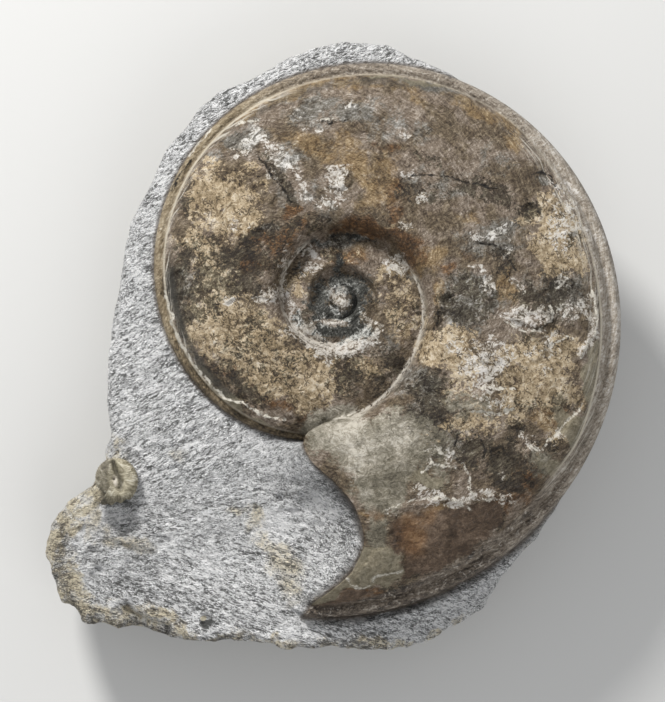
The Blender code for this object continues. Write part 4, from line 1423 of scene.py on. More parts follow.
# Grey-blue mineral; the patches at (350, 110) and (325, 112), high on the flank near the top, are a painted
# bluish reflection of the light.
BLUE = [
    (350, 110, 34, 16, 0, 0.85), (248, 137, 22, 16, 10, 0.8), (287, 160, 20, 16, 0, 0.75),
    (325, 112, 44, 18, 0, 0.75), (430, 86, 44, 8, -6, 0.85), (478, 92, 22, 8, -28, 0.75),
    (542, 179, 9, 8, 0, 1.0), (486, 240, 34, 18, 5, 0.7), (468, 300, 36, 32, 0, 0.85),
    (505, 235, 24, 22, 0, 0.6), (400, 130, 40, 20, 0, 0.4), (500, 165, 24, 20, 0, 0.45),
    (290, 92, 50, 6, 24, 0.75), (272, 230, 10, 7, 0, 0.8), (440, 185, 44, 16, 0, 0.5),
    (280, 190, 14, 28, 20, 0.6), (185, 290, 22, 30, 0, 0.6), (545, 290, 40, 30, 0, 0.35),
    (318, 200, 18, 24, 10, 0.5), (414, 382, 22, 18, -35, 0.6), (425, 405, 24, 24, 0, 0.5),
    (440, 440, 40, 20, 0, 0.5), (400, 445, 40, 34, 0, 0.45), (470, 530, 34, 24, 30, 0.3),
    (380, 345, 26, 14, 20, 0.5), (411, 275, 12, 14, -30, 0.4), (340, 238, 26, 8, 0, 0.75),
    (560, 290, 20, 30, 0, 0.4), (456, 330, 20, 10, 0, 0.4), (210, 160, 16, 8, 40, 0.5),
]
print("mineral patches:", sum(len(part) for part in (CREAM, GOLD, RUST_AND_SHADE, MOSS, BLUE)))

# %% [markdown]
# Then come scaly white shell, the pale part near the mouth, broken edges, worn stone with amber, and the dark
# middle of the coil, which also holds painted shadow under the umbilicus's upper wall.

# %% shell, stone and core of the large shell
WHITE = [
    (338, 176, 13, 14, 20, 0.85), (330, 200, 12, 7, -50, 0.6), (256, 138, 11, 7, -45, 0.8),
    (276, 155, 18, 8, -45, 0.95), (292, 168, 9, 6, -50, 0.7), (298, 112, 12, 8, 0, 0.35),
    (355, 104, 10, 11, 0, 0.5), (236, 222, 12, 8, 0, 0.4), (232, 298, 9, 7, 0, 0.8),
    (267, 297, 18, 8, 0, 0.9), (286, 275, 8, 34, 4, 0.5), (308, 338, 34, 14, -36, 1.0),
    (345, 350, 30, 11, 6, 1.0), (368, 334, 16, 10, 35, 0.8), (292, 318, 8, 20, 10, 0.7),
    (487, 282, 9, 14, 0, 0.5), (478, 268, 12, 4, 0, 0.4), (516, 283, 7, 12, 20, 0.45),
    (528, 317, 22, 9, -12, 0.95), (592, 320, 8, 34, 0, 0.6), (572, 306, 10, 22, -60, 0.45),
    (556, 284, 10, 18, -40, 0.35), (584, 348, 10, 10, 30, 0.7), (490, 358, 30, 18, 20, 0.72),
    (478, 375, 26, 10, -30, 0.7), (494, 398, 28, 14, -12, 0.5), (430, 492, 16, 6, 0, 0.95),
    (450, 500, 34, 8, 6, 0.55), (490, 498, 30, 8, 0, 0.6), (408, 176, 10, 6, 0, 0.45),
    (423, 200, 8, 5, 0, 0.8), (408, 222, 8, 6, 0, 0.7), (405, 132, 9, 6, 0, 0.6),
    (490, 232, 30, 6, 10, 0.4), (438, 455, 20, 9, 30, 0.4), (545, 345, 22, 7, 30, 0.6),
    (506, 250, 6, 18, -30, 0.3), (575, 210, 8, 40, 25, 0.35), (555, 190, 20, 6, -55, 0.4),
    (560, 425, 26, 6, 48, 0.5), (532, 447, 10, 5, 0, 0.7), (390, 506, 10, 8, 0, 0.5),
    (300, 186, 8, 14, 0, 0.4), (245, 145, 18, 6, 30, 0.6), (500, 470, 8, 6, 0, 0.3),
    (552, 205, 8, 10, 60, 0.4), (308, 254, 9, 6, 0, 0.95), (312, 268, 12, 8, 0, 0.4),
    (340, 299, 13, 11, 0, 1.0), (330, 318, 16, 6, -20, 0.6), (336, 322, 22, 5, -6, 0.75),
    (365, 318, 8, 5, 30, 0.6), (395, 268, 16, 22, -30, 0.35), (462, 345, 14, 8, 0, 0.4),
    (316, 128, 16, 4, 0, 0.3), (312, 196, 22, 4, -48, 0.7), (338, 166, 14, 6, 0, 0.6),
    (345, 195, 12, 10, 0, 0.5), (270, 178, 10, 10, 0, 0.45), (560, 228, 18, 22, 0, 0.5),
    (302, 333, 14, 6, -40, 0.9), (340, 346, 26, 5, 4, 0.9), (525, 437, 14, 5, -10, 0.4),
    (545, 370, 16, 8, 0, 0.3),
]
PALE = [
    (345, 438, 50, 30, -20, 1.0), (388, 452, 40, 44, 0, 1.0), (376, 488, 28, 26, 10, 1.0),
    (328, 424, 28, 16, 10, 0.95), (425, 470, 34, 22, 0, 0.45), (430, 440, 34, 20, 0, 0.4),
    (470, 400, 34, 14, -8, 0.6), (540, 462, 16, 22, 40, 0.7), (405, 425, 30, 14, 0, 0.6),
    (378, 530, 12, 26, 20, 0.9), (470, 418, 30, 10, 0, 0.4),
]
PALE_LIGHT = [
    (340, 432, 36, 22, -10, 0.9), (362, 418, 40, 12, 5, 0.8), (372, 448, 20, 20, 0, 0.5),
    (360, 480, 10, 22, 20, 0.5), (400, 436, 26, 14, 0, 0.5), (366, 510, 12, 14, 0, 0.5),
]
CHIP = [
    (382, 562, 24, 26, 35, 1.0), (366, 576, 26, 12, 30, 0.9), (326, 592, 26, 9, 28, 0.95),
    (590, 378, 11, 40, -5, 1.0), (573, 432, 15, 38, 30, 1.0), (554, 470, 12, 26, 40, 0.8),
    (243, 413, 48, 7, -33, 1.0), (200, 375, 8, 22, 35, 0.6), (410, 82, 60, 5, -5, 0.7),
    (430, 480, 26, 12, 0, 0.7), (340, 585, 30, 8, 28, 0.7),
]
WORN = [
    (414, 532, 26, 30, 10, 1.0), (452, 534, 44, 26, 30, 1.0), (428, 562, 40, 16, 22, 0.9),
    (484, 520, 24, 16, 40, 0.8), (340, 600, 50, 7, 14, 0.9),
]
AMBER = [(411, 532, 15, 26, 5, 1.0), (426, 512, 12, 7, 0, 0.6), (372, 513, 13, 8, -15, 0.75)]
# The dark middle of the coil; the patches at (322, 240), (360, 240) and (338, 262) are painted shadow under
# the umbilicus's upper wall.
UMBER = [
    (342, 305, 38, 37, 0, 0.95), (338, 262, 7, 14, 0, 0.8), (300, 266, 10, 7, 20, 0.35),
    (322, 240, 18, 7, 20, 0.5), (295, 318, 8, 12, 20, 0.6), (360, 240, 26, 6, -5, 0.5),
    (345, 330, 30, 14, 0, 0.8),
]
CORE_LIGHT = [
    (341, 298, 15, 13, 0, 1.0), (335, 323, 20, 4, -6, 0.9), (366, 318, 8, 5, 30, 0.6),
    (330, 338, 20, 4, 0, 0.5),
]
print("other patches:", sum(len(part) for part in (WHITE, PALE, CHIP, WORN, AMBER, UMBER)))

# %% [markdown]
# Patches of one kind add up to one field on the mesh. It is read at places that slow noise has pushed about,
# so no patch shows as an ellipse.

# %% patches become fields
def wandered(x, y):
    """The same points, pushed about by slow noise, so that an ellipse read there has an uneven outline."""
    new_x = x + 2.4 * grain(x, y, 7, 50.0) + 1.2 * grain(x, y, 2.6, 51.0)
    new_y = y + 2.4 * grain(x, y, 7, 52.0) + 1.2 * grain(x, y, 2.6, 53.0)
    return new_x, new_y


def patch_field(x, y, patches):
    """Each patch's strength inside its ellipse, merged so that overlaps never pass 1."""
    left = np.ones(len(x))
    for px, py, long, short, tilt, strength in patches:
        cx, cy = from_photo([(px, py)])[0]
        c = math.cos(math.radians(tilt))
        s = math.sin(math.radians(tilt))
        along = ((x - cx) * c + (y - cy) * s) / (long * PX)
        across = ((y - cy) * c - (x - cx) * s) / (short * PX)
        left *= 1 - strength * (1 - smooth(0.35, 1.35, np.hypot(along, across)))
    return 1 - left


def store(piece, name, values):
    field = piece.data.attributes.new(name, "FLOAT", "POINT")
    field.data.foreach_set("value", np.asarray(values, np.float32))


upper = shell_side >= 0
patch_x, patch_y = wandered(shell_x, shell_y)
SHELL_PATCHES = {
    "cream": CREAM, "gold": GOLD, "rust_and_shade": RUST_AND_SHADE, "moss": MOSS, "blue": BLUE, "white": WHITE, "pale": PALE,
    "pale_light": PALE_LIGHT, "chip": CHIP, "worn": WORN, "amber": AMBER,
}
for name, patches in SHELL_PATCHES.items():
    store(shell_piece, name, patch_field(patch_x, patch_y, patches) * upper)
core_light = patch_field(shell_x, shell_y, CORE_LIGHT)
store(shell_piece, "umber", patch_field(patch_x, patch_y, UMBER) * (1 - 0.9 * core_light) * upper)
print("fields on the large shell:", len(shell_piece.data.attributes))

# %% [markdown]
# Each vertex stores its distance from the nearest pale vein or dark crack, and the shader turns that into a
# thin stroke, so a line can be finer than the mesh.

# %% lines on the large shell
VEINS = [from_photo(line) for line in (
    [(165, 293), (173, 323), (182, 345), (193, 363), (208, 381), (224, 396), (236, 403), (243, 401),
     (249, 406), (262, 414), (272, 418), (284, 419)],
    [(190, 156), (200, 143), (211, 129)],
    [(590, 290), (596, 308), (594, 333), (586, 345), (579, 357)],
    [(532, 357), (543, 349), (558, 340), (571, 338)],
    [(580, 405), (569, 418), (553, 434), (542, 449), (527, 445)],
    [(506, 322), (518, 331), (538, 330), (551, 318), (548, 305)],
    [(421, 471), (426, 466), (432, 462), (445, 466), (455, 466)], [(432, 462), (428, 457)],
    [(423, 449), (432, 446), (441, 452)],
    [(462, 462), (466, 474), (471, 492), (482, 497), (500, 499), (514, 503)],
    [(394, 505), (410, 498), (432, 497), (455, 500), (470, 508)],
    [(347, 577), (352, 584), (359, 588), (371, 585), (374, 575), (386, 573), (401, 570)],
    [(345, 121), (328, 121), (321, 121)],
    [(469, 388), (490, 386), (516, 390)], [(470, 411), (495, 413), (514, 409)],
    [(234, 128), (241, 122), (258, 122)],
)]
DARK_LINES = [from_photo(line) for line in (
    [(477, 244), (495, 247), (505, 256), (514, 270)],
    [(451, 296), (444, 301), (440, 308), (437, 318), (433, 329)],
    [(345, 122), (332, 123), (322, 122)],
    [(166, 197), (180, 175), (192, 160)],
    [(533, 176), (541, 172), (550, 180), (558, 190)],
    [(524, 200), (533, 208), (538, 215)],
    [(452, 445), (456, 434), (466, 430), (477, 434), (484, 448), (481, 462)],
    [(397, 182), (420, 176), (446, 178), (470, 184), (494, 190)],
    [(257, 155), (270, 172), (284, 192), (290, 202)],
)]


def nearest_line(lines, x, y):
    gap = np.full(len(x), 50.0)
    for line in lines:
        gap = np.minimum(gap, near_line(line, x, y)[0])
    return gap


line_x = shell_x + 0.6 * grain(shell_x, shell_y, 2.2, 60.0) + 0.35 * grain(shell_x, shell_y, 1.0, 61.0)
line_y = shell_y + 0.6 * grain(shell_x, shell_y, 2.2, 62.0) + 0.35 * grain(shell_x, shell_y, 1.0, 63.0)
store(shell_piece, "vein_gap", nearest_line(VEINS, line_x, line_y))
store(shell_piece, "crack_gap", nearest_line(DARK_LINES, line_x, line_y))
print("lines:", len(VEINS) + len(DARK_LINES))

# %% [markdown]
# The keel's band changes in width, tone and inner edge, by turn angle. Beside it, broken layers show as pale
# lines, and a pale crust is left along the seam.

# %% the keel's band, and the lines beside it
KEEL_LINE = [
    (187, 1.4), (270, 2.3), (330, 2.4), (360, 2.6), (400, 2.4), (421, 3.8), (446, 4.6), (472, 4.2),
    (480, 3.8), (490, 4.6), (520, 4.6), (547, 2.6),
]
# From 500 degrees to the mouth the band's lower tone is painted shade, beside the dark groove in the rock.
BAND_TONE = [
    (187, -0.25), (240, -0.2), (258, 0.02), (275, 0.08), (335, 0.04), (355, -0.08), (392, -0.02),
    (410, 0.1), (450, 0.14), (480, 0.04), (500, -0.12), (515, -0.24), (547, -0.3),
]
EDGE_LINE = [
    (187, 0.1), (230, 0.4), (250, 0.75), (335, 0.7), (350, 0.35), (400, 0.3), (440, 0.5), (452, 0.9),
    (482, 0.9), (490, 0.3), (500, 0.0), (547, 0.0),
]


def between(low, high, ease, value):
    """1 between two values, easing to 0 outside them."""
    return smooth(low - ease, low + ease, value) * (1 - smooth(high - ease, high + ease, value))


from_keel = keel_radius(shell_angle) - np.hypot(shell_x, shell_y)
from_band = from_keel - rounded(KEEL_LINE, shell_angle)
outside = upper * (shell_angle > 186) * (shell_share > COVERED_FROM)
store(shell_piece, "band", smooth(-0.35, 0.35, -from_band) * outside)
store(shell_piece, "band_tone", rounded(BAND_TONE, shell_angle))
store(shell_piece, "edge", rounded(EDGE_LINE, shell_angle))
store(shell_piece, "band_pink", smooth(325, 365, shell_angle))
store(shell_piece, "band_gap", np.where(outside, from_band, 20))

laminae = between(0.1, 2.6, 0.8, from_band) * smooth(392, 412, shell_angle)
laminae = laminae * (1 - smooth(466, 474, shell_angle))
left_lines = between(-0.5, 1.2, 0.3, from_band) * between(245, 345, 6, shell_angle)
low_lines = between(-1.6, 0.6, 0.4, from_band) * between(470, 492, 4, shell_angle)
store(shell_piece, "laminae", np.clip(laminae + left_lines + low_lines, 0, 1) * outside)
inner_dark = between(225, 282, 8, shell_angle) + 0.6 * between(330, 392, 8, shell_angle)
inner_dark = inner_dark * between(0.6, 2.4, 0.5, from_band)
store(shell_piece, "inner_dark", inner_dark * outside)
seam_line = (1 - smooth(0.006, 0.02, shell_share)) * between(425, 546, 8, shell_angle)
seam_line = seam_line + 0.8 * (1 - smooth(0.01, 0.03, shell_share)) * between(150, 330, 10, shell_angle)
store(shell_piece, "seam_line", np.clip(seam_line, 0, 1) * upper)
print("fields on the large shell:", len(shell_piece.data.attributes))

# %% [markdown]
# This UV map unrolls the spiral: how far round, and how far out. A seam point belongs to two whorls, 360
# degrees apart, so values are kept for each corner of a face.

# %% unroll the coil
UNROLL_RADIUS = 42.0
UV_UNIT = 100  # millimetres to one unit of the map


def unroll(piece, angle, radius):
    """Writes the UV map, in tenths of a metre."""
    data = piece.data
    count = len(data.loops)
    corner = np.empty(count, np.int32)
    data.loops.foreach_get("vertex_index", corner)
    start = np.empty(len(data.polygons), np.int32)
    data.polygons.foreach_get("loop_start", start)
    turn = angle[corner]
    lowest = np.minimum.reduceat(turn, start)
    face = np.repeat(np.arange(len(start)), np.diff(np.append(start, count)))
    turn = np.where(turn - lowest[face] > 180, turn - 360, turn)
    values = np.column_stack([np.radians(turn) * UNROLL_RADIUS, radius[corner]]) / UV_UNIT
    layer = data.uv_layers.new(name="whorl")
    layer.uv.foreach_set("vector", values.astype(np.float32).ravel())


unroll(shell_piece, shell_angle, np.hypot(shell_x, shell_y))

print("maps:", [layer.name for layer in shell_piece.data.uv_layers])

# %% [markdown]
# The large shell's finish is a stack, as the real one is. Each layer has its own colours and edge, and one
# tone runs through them all, so that they look like one stone.

# %% colours and edges of the layers
SHADES = {
    "brown": [(22, 17, 12), (62, 52, 40), (102, 90, 72), (138, 125, 104), (184, 172, 152), (232, 225, 210)],
    "pink": [(28, 23, 19), (74, 64, 55), (116, 104, 91), (152, 140, 126), (197, 187, 175), (236, 230, 222)],
    "blue": [(22, 20, 17), (66, 63, 56), (110, 108, 100), (151, 150, 144), (198, 198, 194), (238, 239, 237)],
    "gold": [(34, 24, 12), (90, 70, 44), (136, 112, 76), (174, 150, 110), (210, 191, 155), (240, 230, 210)],
    "rust_and_shade": [(24, 15, 8), (60, 42, 25), (98, 70, 42), (138, 104, 70), (188, 158, 120), (226, 208, 180)],
    "cream": [(28, 23, 16), (89, 76, 56), (150, 132, 102), (200, 181, 149), (232, 217, 191), (248, 241, 227)],
    "moss": [(14, 14, 12), (43, 44, 37), (81, 81, 68), (127, 126, 108), (194, 190, 168), (236, 232, 215)],
    "white": [
        (60, 56, 50), (122, 117, 108), (174, 169, 159), (212, 207, 197), (237, 233, 225), (251, 249, 245),
    ],
    "pale": [(48, 46, 38), (96, 92, 78), (134, 130, 114), (176, 171, 156), (226, 221, 208)],
    "chip": [(74, 69, 54), (116, 110, 90), (144, 137, 116), (168, 161, 140), (194, 188, 168)],
    "worn": [(26, 20, 15), (57, 46, 36), (88, 73, 59), (130, 112, 96), (198, 185, 170)],
    "amber": [(36, 23, 12), (84, 57, 32), (124, 88, 53), (162, 126, 86), (216, 190, 154)],
    "tan": [(34, 27, 18), (88, 75, 55), (140, 124, 98), (180, 165, 138), (224, 214, 194)],
    "rosy": [(40, 34, 29), (100, 89, 78), (150, 138, 123), (194, 184, 170), (242, 237, 230)],
    "umber": [(10, 10, 9), (33, 33, 30), (64, 64, 59), (112, 112, 107), (184, 184, 178), (238, 238, 234)],
}
EDGES = {  # shift, coarse, fine and softness of the ragged edge, and how strongly the layer covers
    "blue": (3.1, 0.7, 0.7, 0.4, 1.0),
    "gold": (7.7, 0.7, 0.6, 0.45, 0.8),
    "rust_and_shade": (12.3, 0.7, 0.6, 0.4, 1.0),
    "cream": (18.9, 0.7, 1.1, 0.16, 1.0),
    "moss": (25.7, 0.7, 1.3, 0.14, 0.7),
    "white": (41.9, 0.7, 1.5, 0.2, 0.75),
    "pale": (31.1, 0.5, 0.6, 0.22, 1.0),
    "chip": (36.3, 0.3, 0.25, 0.08, 1.0),
    "worn": (53.9, 0.4, 0.4, 0.15, 1.0),
    "amber": (59.3, 0.3, 0.3, 0.9, 0.85),
    "umber": (47.3, 0.3, 0.6, 0.2, 1.0),
}


def layer(tree, place, name, tone, skin, mask=None):
    """One mineral over the skin, in its own colours and with its own edge."""
    *edge, strength = EDGES[name]
    mask = mask or frayed(tree, place, name, *edge)
    return blend(tree, times(tree, mask, strength), skin, palette(tree, tone, SHADES[name]))


print("layers:", len(EDGES))

# %% [markdown]
# The tone is fibres along and across the coil, flakes and grit. Calm cream areas have more flakes.

# %% light and dark of the large shell
def shell_patterns(tree, place, unrolled):
    """Streaks, flakes, grit and slow changes, each 0 to 1."""
    along = use_group(tree, fibres, Place=unrolled, Length=2.4, Width=0.5, Lean=0.25, Bend=0.5)
    slanting = use_group(tree, fibres, Place=place, Length=1.2, Width=0.42, Lean=-0.6, Bend=0.6)
    streaks = stretched(tree, blend(tree, 0.5, along["Streaks"], slanting["Streaks"]), 0.36, 0.64)
    flaky = stretched(tree, noise_of(tree, place, 2.2, 5.0, 0.66, 1.8))
    grit = stretched(tree, noise_of(tree, place, 0.34, 3.0, 0.75))
    broad = stretched(tree, noise_of(tree, place, 7.0, 3.0, 0.55, 0.5))
    return streaks, flaky, grit, broad


def shell_tone(tree, place, streaks, flaky, grit, broad):
    large = use_group(tree, flakes_nodes, Place=place, Size=2.6, Warp=0.7)
    small = use_group(tree, flakes_nodes, Place=place, Size=0.95, Warp=0.6)
    calm = weigh(tree, field(tree, "cream"), 0.6, 0.25)
    mixed = blend(tree, calm, streaks, flaky)
    celled = weigh(tree, large["Shade"], 0.6, times(tree, small["Shade"], 0.4))
    celled = weigh(tree, large["Seams"], -0.35, celled)
    celled = weigh(tree, small["Seams"], -0.22, celled)
    tone = weigh(tree, grit, 0.22, times(tree, mixed, 0.72))
    tone = weigh(tree, broad, 0.2, tone)
    tone = weigh(tree, minus(tree, celled, 0.35), weigh(tree, calm, 0.3, 0.1), tone)
    return minus(tree, tone, 0.1)


print("patterns:", shell_patterns.__doc__)

# %% [markdown]
# Over brown crystal lie the minerals. Moss darkens the tone, and white and cream lighten it.

# %% minerals in the large shell's finish
def mineral_masks(tree, place, flaky):
    masks = {name: frayed(tree, place, name, *EDGES[name][:4]) for name in ("cream", "moss", "white")}
    masks["white"] = times(tree, masks["white"], soft_step(tree, flaky, 0.05, 0.6))
    return masks


def mineral_tone(tree, masks, tone, broad):
    tone = weigh(tree, masks["moss"], -0.21, tone)
    tone = weigh(tree, masks["white"], 0.36, tone)
    tone = weigh(tree, masks["cream"], 0.14, tone)
    # the rust field, with its painted shadow at the top of the umbilicus, darkens the tone
    tone = weigh(tree, field(tree, "rust_and_shade"), -0.1, tone)
    even = times(tree, masks["cream"], weigh(tree, masks["moss"], -0.24, 0.24))
    return blend(tree, even, tone, weigh(tree, broad, 0.3, 0.42))


def minerals(tree, place, masks, tone, broad):
    """Brown and pink crystal below, the minerals over it, and dendrites on the cream."""
    brown = palette(tree, tone, SHADES["brown"])
    pink = palette(tree, tone, SHADES["pink"])
    skin = blend(tree, soft_step(tree, broad, 0.3, 0.7), brown, pink)
    # the grey-blue layer also paints a reflection high on the flank near the top
    # the rust layer also paints the shadow at the top of the umbilicus
    for name in ("blue", "gold", "rust_and_shade", "cream", "moss", "white"):
        skin = layer(tree, place, name, tone, skin, masks.get(name))
    stars = use_group(tree, dendrites, Place=place, Size=2.1, Density=0.75, Arms=5.0)["Stars"]
    specks = use_group(tree, dendrites, Place=place, Size=0.9, Density=0.4, Arms=2.0)["Stars"]
    dotted = times(tree, masks["cream"], sums(tree, "MAXIMUM", stars, specks))
    return paint(tree, skin, dotted, 0.8, (44, 36, 25))


print("dendrites:", dendrites.name)

# %% [markdown]
# Near the mouth the shell is smooth and pale, chipped at its edges, and worn down to stone.

# %% the part near the mouth
def near_mouth(tree, place, skin, streaks, flaky, grit, broad):
    plain = weigh(tree, streaks, 0.35, times(tree, flaky, 0.4))
    plain = weigh(tree, grit, 0.25, plain)
    pale = weigh(tree, broad, 0.4, minus(tree, plain, 0.2))
    pale = weigh(tree, field(tree, "pale_light"), 0.35, pale)
    worn = weigh(tree, plain, 0.7, times(tree, broad, 0.35))
    for name, tone in (("pale", pale), ("chip", plain), ("worn", worn), ("amber", worn)):
        skin = layer(tree, place, name, tone, skin)
    return skin


print("patches near the mouth:", len(PALE) + len(CHIP) + len(WORN) + len(AMBER))

# %% [markdown]
# The fibres are used again, much longer, for the threads along the keel and beside it.

# %% the keel and the seam
def keel_band(tree, place, unrolled, skin, tone, flaky):
    """The band on the keel, the lines beside it, and how strongly its inner edge shows."""
    threads = use_group(tree, fibres, Place=unrolled, Length=13.0, Width=0.55, Lean=0.02, Bend=0.25)
    banded = stretched(tree, threads["Streaks"], 0.36, 0.64)
    # the band's tone includes painted shade from 500 degrees to the mouth
    band_tone = plus(tree, weigh(tree, banded, 0.14, tone), field(tree, "band_tone"))
    pink = field(tree, "band_pink")
    tan = palette(tree, band_tone, SHADES["tan"])
    rosy = palette(tree, band_tone, SHADES["rosy"])
    skin = blend(tree, field(tree, "band"), skin, blend(tree, pink, tan, rosy))
    pale_spots = soft_step(tree, noise_of(tree, place, 1.1, 4.0, 0.7, 0.6), 0.56, 0.64)
    pale_spots = times(tree, times(tree, pink, pale_spots), field(tree, "band"))
    skin = paint(tree, skin, pale_spots, 0.7, (214, 206, 194))
    skin = paint(tree, skin, field(tree, "inner_dark"), 0.75, (58, 56, 50))
    lamina = soft_step(tree, threads["Streaks"], 0.52, 0.64)
    lamina = sums(tree, "MAXIMUM", lamina, times(tree, threads["Threads"], 0.6))
    skin = paint(tree, skin, times(tree, lamina, field(tree, "laminae")), 0.8, (222, 216, 203))
    edge_line = soft_step(tree, size_of(tree, field(tree, "band_gap")), 0.34, 0.08)
    edge_line = times(tree, edge_line, field(tree, "edge"))
    skin = paint(tree, skin, edge_line, 1.0, (224, 214, 194))
    crust = times(tree, field(tree, "seam_line"), soft_step(tree, flaky, 0.25, 0.5))
    skin = paint(tree, skin, crust, 0.9, (228, 221, 208))
    # the dark umber layer, which also holds painted shadow at the top of the umbilicus
    return layer(tree, place, "umber", tone, skin), edge_line


print("threads along the keel:", fibres.name)

# %% [markdown]
# A line is drawn where its stored distance is near 0, and noise makes it wobble and breaks it up.

# %% veins and cracks
def line_mask(tree, name, wobble, breaks, half, breaks_from):
    """A thin broken line where the stored distance plus the wobble is near 0."""
    gap = plus(tree, field(tree, name), wobble)
    line = soft_step(tree, size_of(tree, gap), half, 0.1)
    return times(tree, line, soft_step(tree, breaks, breaks_from, 0.5))


def veins_and_cracks(tree, place, skin):
    wobble = weigh(tree, noise_of(tree, place, 1.3, 3.0, 0.6), 1.3, -0.65)
    breaks = noise_of(tree, place, 0.9, 3.0, 0.7)
    vein = line_mask(tree, "vein_gap", wobble, breaks, 0.38, 0.36)
    crack = line_mask(tree, "crack_gap", times(tree, wobble, 0.6), breaks, 0.36, 0.4)
    skin = paint(tree, skin, vein, 1.0, (232, 226, 212))
    return paint(tree, skin, crack, 1.0, (30, 24, 18)), vein, crack


print("veins:", len(VEINS), "cracks:", len(DARK_LINES))

# %% [markdown]
# The material puts the stack together. The masks also give height, so a layer's edge catches light.

# %% the large shell's finish
def new_finish(name):
    """A new material: itself, its node tree and its Principled BSDF."""
    made = bpy.data.materials.new(name)
    made.use_nodes = True
    return made, made.node_tree, made.node_tree.nodes["Principled BSDF"]


def add_bump(tree, shader, height, strength, distance):
    bump = put(tree, "ShaderNodeBump", {"Strength": strength, "Distance": distance, "Height": height})
    plug(tree, shader.inputs["Normal"], bump.outputs[0])


def shell_finish():
    made, tree, shader = new_finish("fossil_shell")
    place = in_millimetres(tree)
    unrolled = scaled(tree, put(tree, "ShaderNodeUVMap", uv_map="whorl").outputs[0], UV_UNIT)
    streaks, flaky, grit, broad = shell_patterns(tree, place, unrolled)
    masks = mineral_masks(tree, place, flaky)
    tone = mineral_tone(tree, masks, shell_tone(tree, place, streaks, flaky, grit, broad), broad)
    skin = minerals(tree, place, masks, tone, broad)
    skin = near_mouth(tree, place, skin, streaks, flaky, grit, broad)
    skin, edge_line = keel_band(tree, place, unrolled, skin, tone, flaky)
    skin, vein, crack = veins_and_cracks(tree, place, skin)
    height = weigh(tree, flaky, 0.8, times(tree, grit, 0.45))
    for part, share in ((edge_line, 0.5), (vein, 0.6), (crack, -0.8)):
        height = weigh(tree, part, share, height)
    rough = weigh(tree, masks["white"], 0.2, 0.42)
    plug(tree, shader.inputs["Base Color"], blend(tree, 1.0, skin, DIMMER, "MULTIPLY"))
    plug(tree, shader.inputs["Roughness"], weigh(tree, streaks, 0.12, rough))
    shader.inputs["Specular IOR Level"].default_value = 0.3
    add_bump(tree, shader, height, 0.8, 0.0004)
    return made


shell_piece.data.materials.append(shell_finish())
print("finish:", shell_piece.data.materials[0].name)

# %% [markdown]
# The limestone is pale where the tool bruised it and has weathered to brown on its sides. Which is which is
# stored on the mesh, because a shader can't know what was worked.

# %% fields on the rock
ROCK_STAINS = [
    (232, 511, 14, 5, -10, 0.7), (255, 522, 14, 8, -30, 1.0), (272, 546, 18, 8, -25, 0.8),
    (284, 566, 20, 18, -30, 0.8), (291, 590, 13, 14, 0, 0.6), (125, 541, 30, 7, -20, 0.8),
    (92, 515, 9, 30, 5, 0.8), (176, 458, 12, 5, 10, 0.4), (330, 596, 30, 6, 10, 0.5),
    (100, 490, 14, 16, 30, 0.6), (70, 600, 20, 14, -40, 0.6), (560, 560, 30, 60, 30, 0.3),
]
# Painted shade: darker patches on the ramp into the mouth, in pits and nicks, below the ledge and the ridge,
# under the small shell, in the groove by the keel, and along the bottom and left edges, whose slopes turn
# from the light.
ROCK_PAINTED_SHADE = [
    (326, 480, 10, 44, 22, 0.45), (345, 520, 12, 26, 0, 0.3), (318, 450, 12, 20, 20, 0.45),
    (130, 590, 40, 16, -15, 0.5), (190, 600, 40, 10, -10, 0.4), (115, 503, 24, 5, 0, 0.9),
    (150, 560, 30, 14, -20, 0.5), (180, 350, 20, 14, -60, 0.3), (370, 610, 60, 8, 10, 0.8),
    (265, 560, 30, 5, -15, 0.5), (225, 545, 5, 8, 10, 0.6), (280, 498, 12, 4, 10, 0.6),
    (209, 624, 9, 6, 0, 2.0), (80, 618, 26, 9, -45, 1.0), (150, 634, 50, 5, -12, 1.0),
    (230, 646, 60, 5, -3, 1.0), (330, 648, 60, 4, 0, 0.8), (60, 560, 8, 44, 0, 0.7),
]
PEBBLE = [(203, 619, 4, 3, 20, 1.0)]
TOP_ABOVE = 17  # in millimetres: what lies lower is the rock's side


def rock_fields(points):
    x, y, z = points.T
    on_top = z > TOP_ABOVE
    stain_x, stain_y = wandered(x, y)
    store(rock_piece, "stain", patch_field(stain_x, stain_y, ROCK_STAINS) * on_top)
    # the painted shade is stored under the name shade
    store(rock_piece, "shade", patch_field(stain_x, stain_y, ROCK_PAINTED_SHADE) * (z > 19))
    _, level = edge_values(x, y)
    turn = turn_of(x, y)
    lower_left = between(206, 237, 4, turn)
    bottom = between(160, 212, 8, turn)
    side = 1 - smooth(0.62, 0.93, z / level)
    gap, _, _ = near_line(rim[::4], stain_x, stain_y)
    reach = 1.2 + 4.6 * lower_left + 0.6 * bottom
    margin = (1 - smooth(0.4, 1.25, gap / reach)) * (0.05 + 0.9 * lower_left + 0.5 * bottom)
    store(rock_piece, "weathered", np.clip(np.maximum(side * 0.8, margin), 0, 1))
    away = shell_gap(x, y)
    store(rock_piece, "shell_gap", np.clip(away, -5, 30))
    store(rock_piece, "pebble", patch_field(x, y, PEBBLE) * on_top)
    # where the groove lies, which the finish darkens as painted shade
    store(rock_piece, "groove", groove_share(away, turn) * on_top)


rock_fields(rock_points)
print("fields on the rock:", len(rock_piece.data.attributes))

# %% [markdown]
# Strokes like those of the mesh, only finer, drive colour and height. The stone is a little glossy, because
# freshly bruised calcite glitters.

# %% the rock's finish
ROCK_SHADES = [(72, 73, 71), (124, 125, 124), (178, 179, 181), (226, 227, 230), (254, 254, 255)]


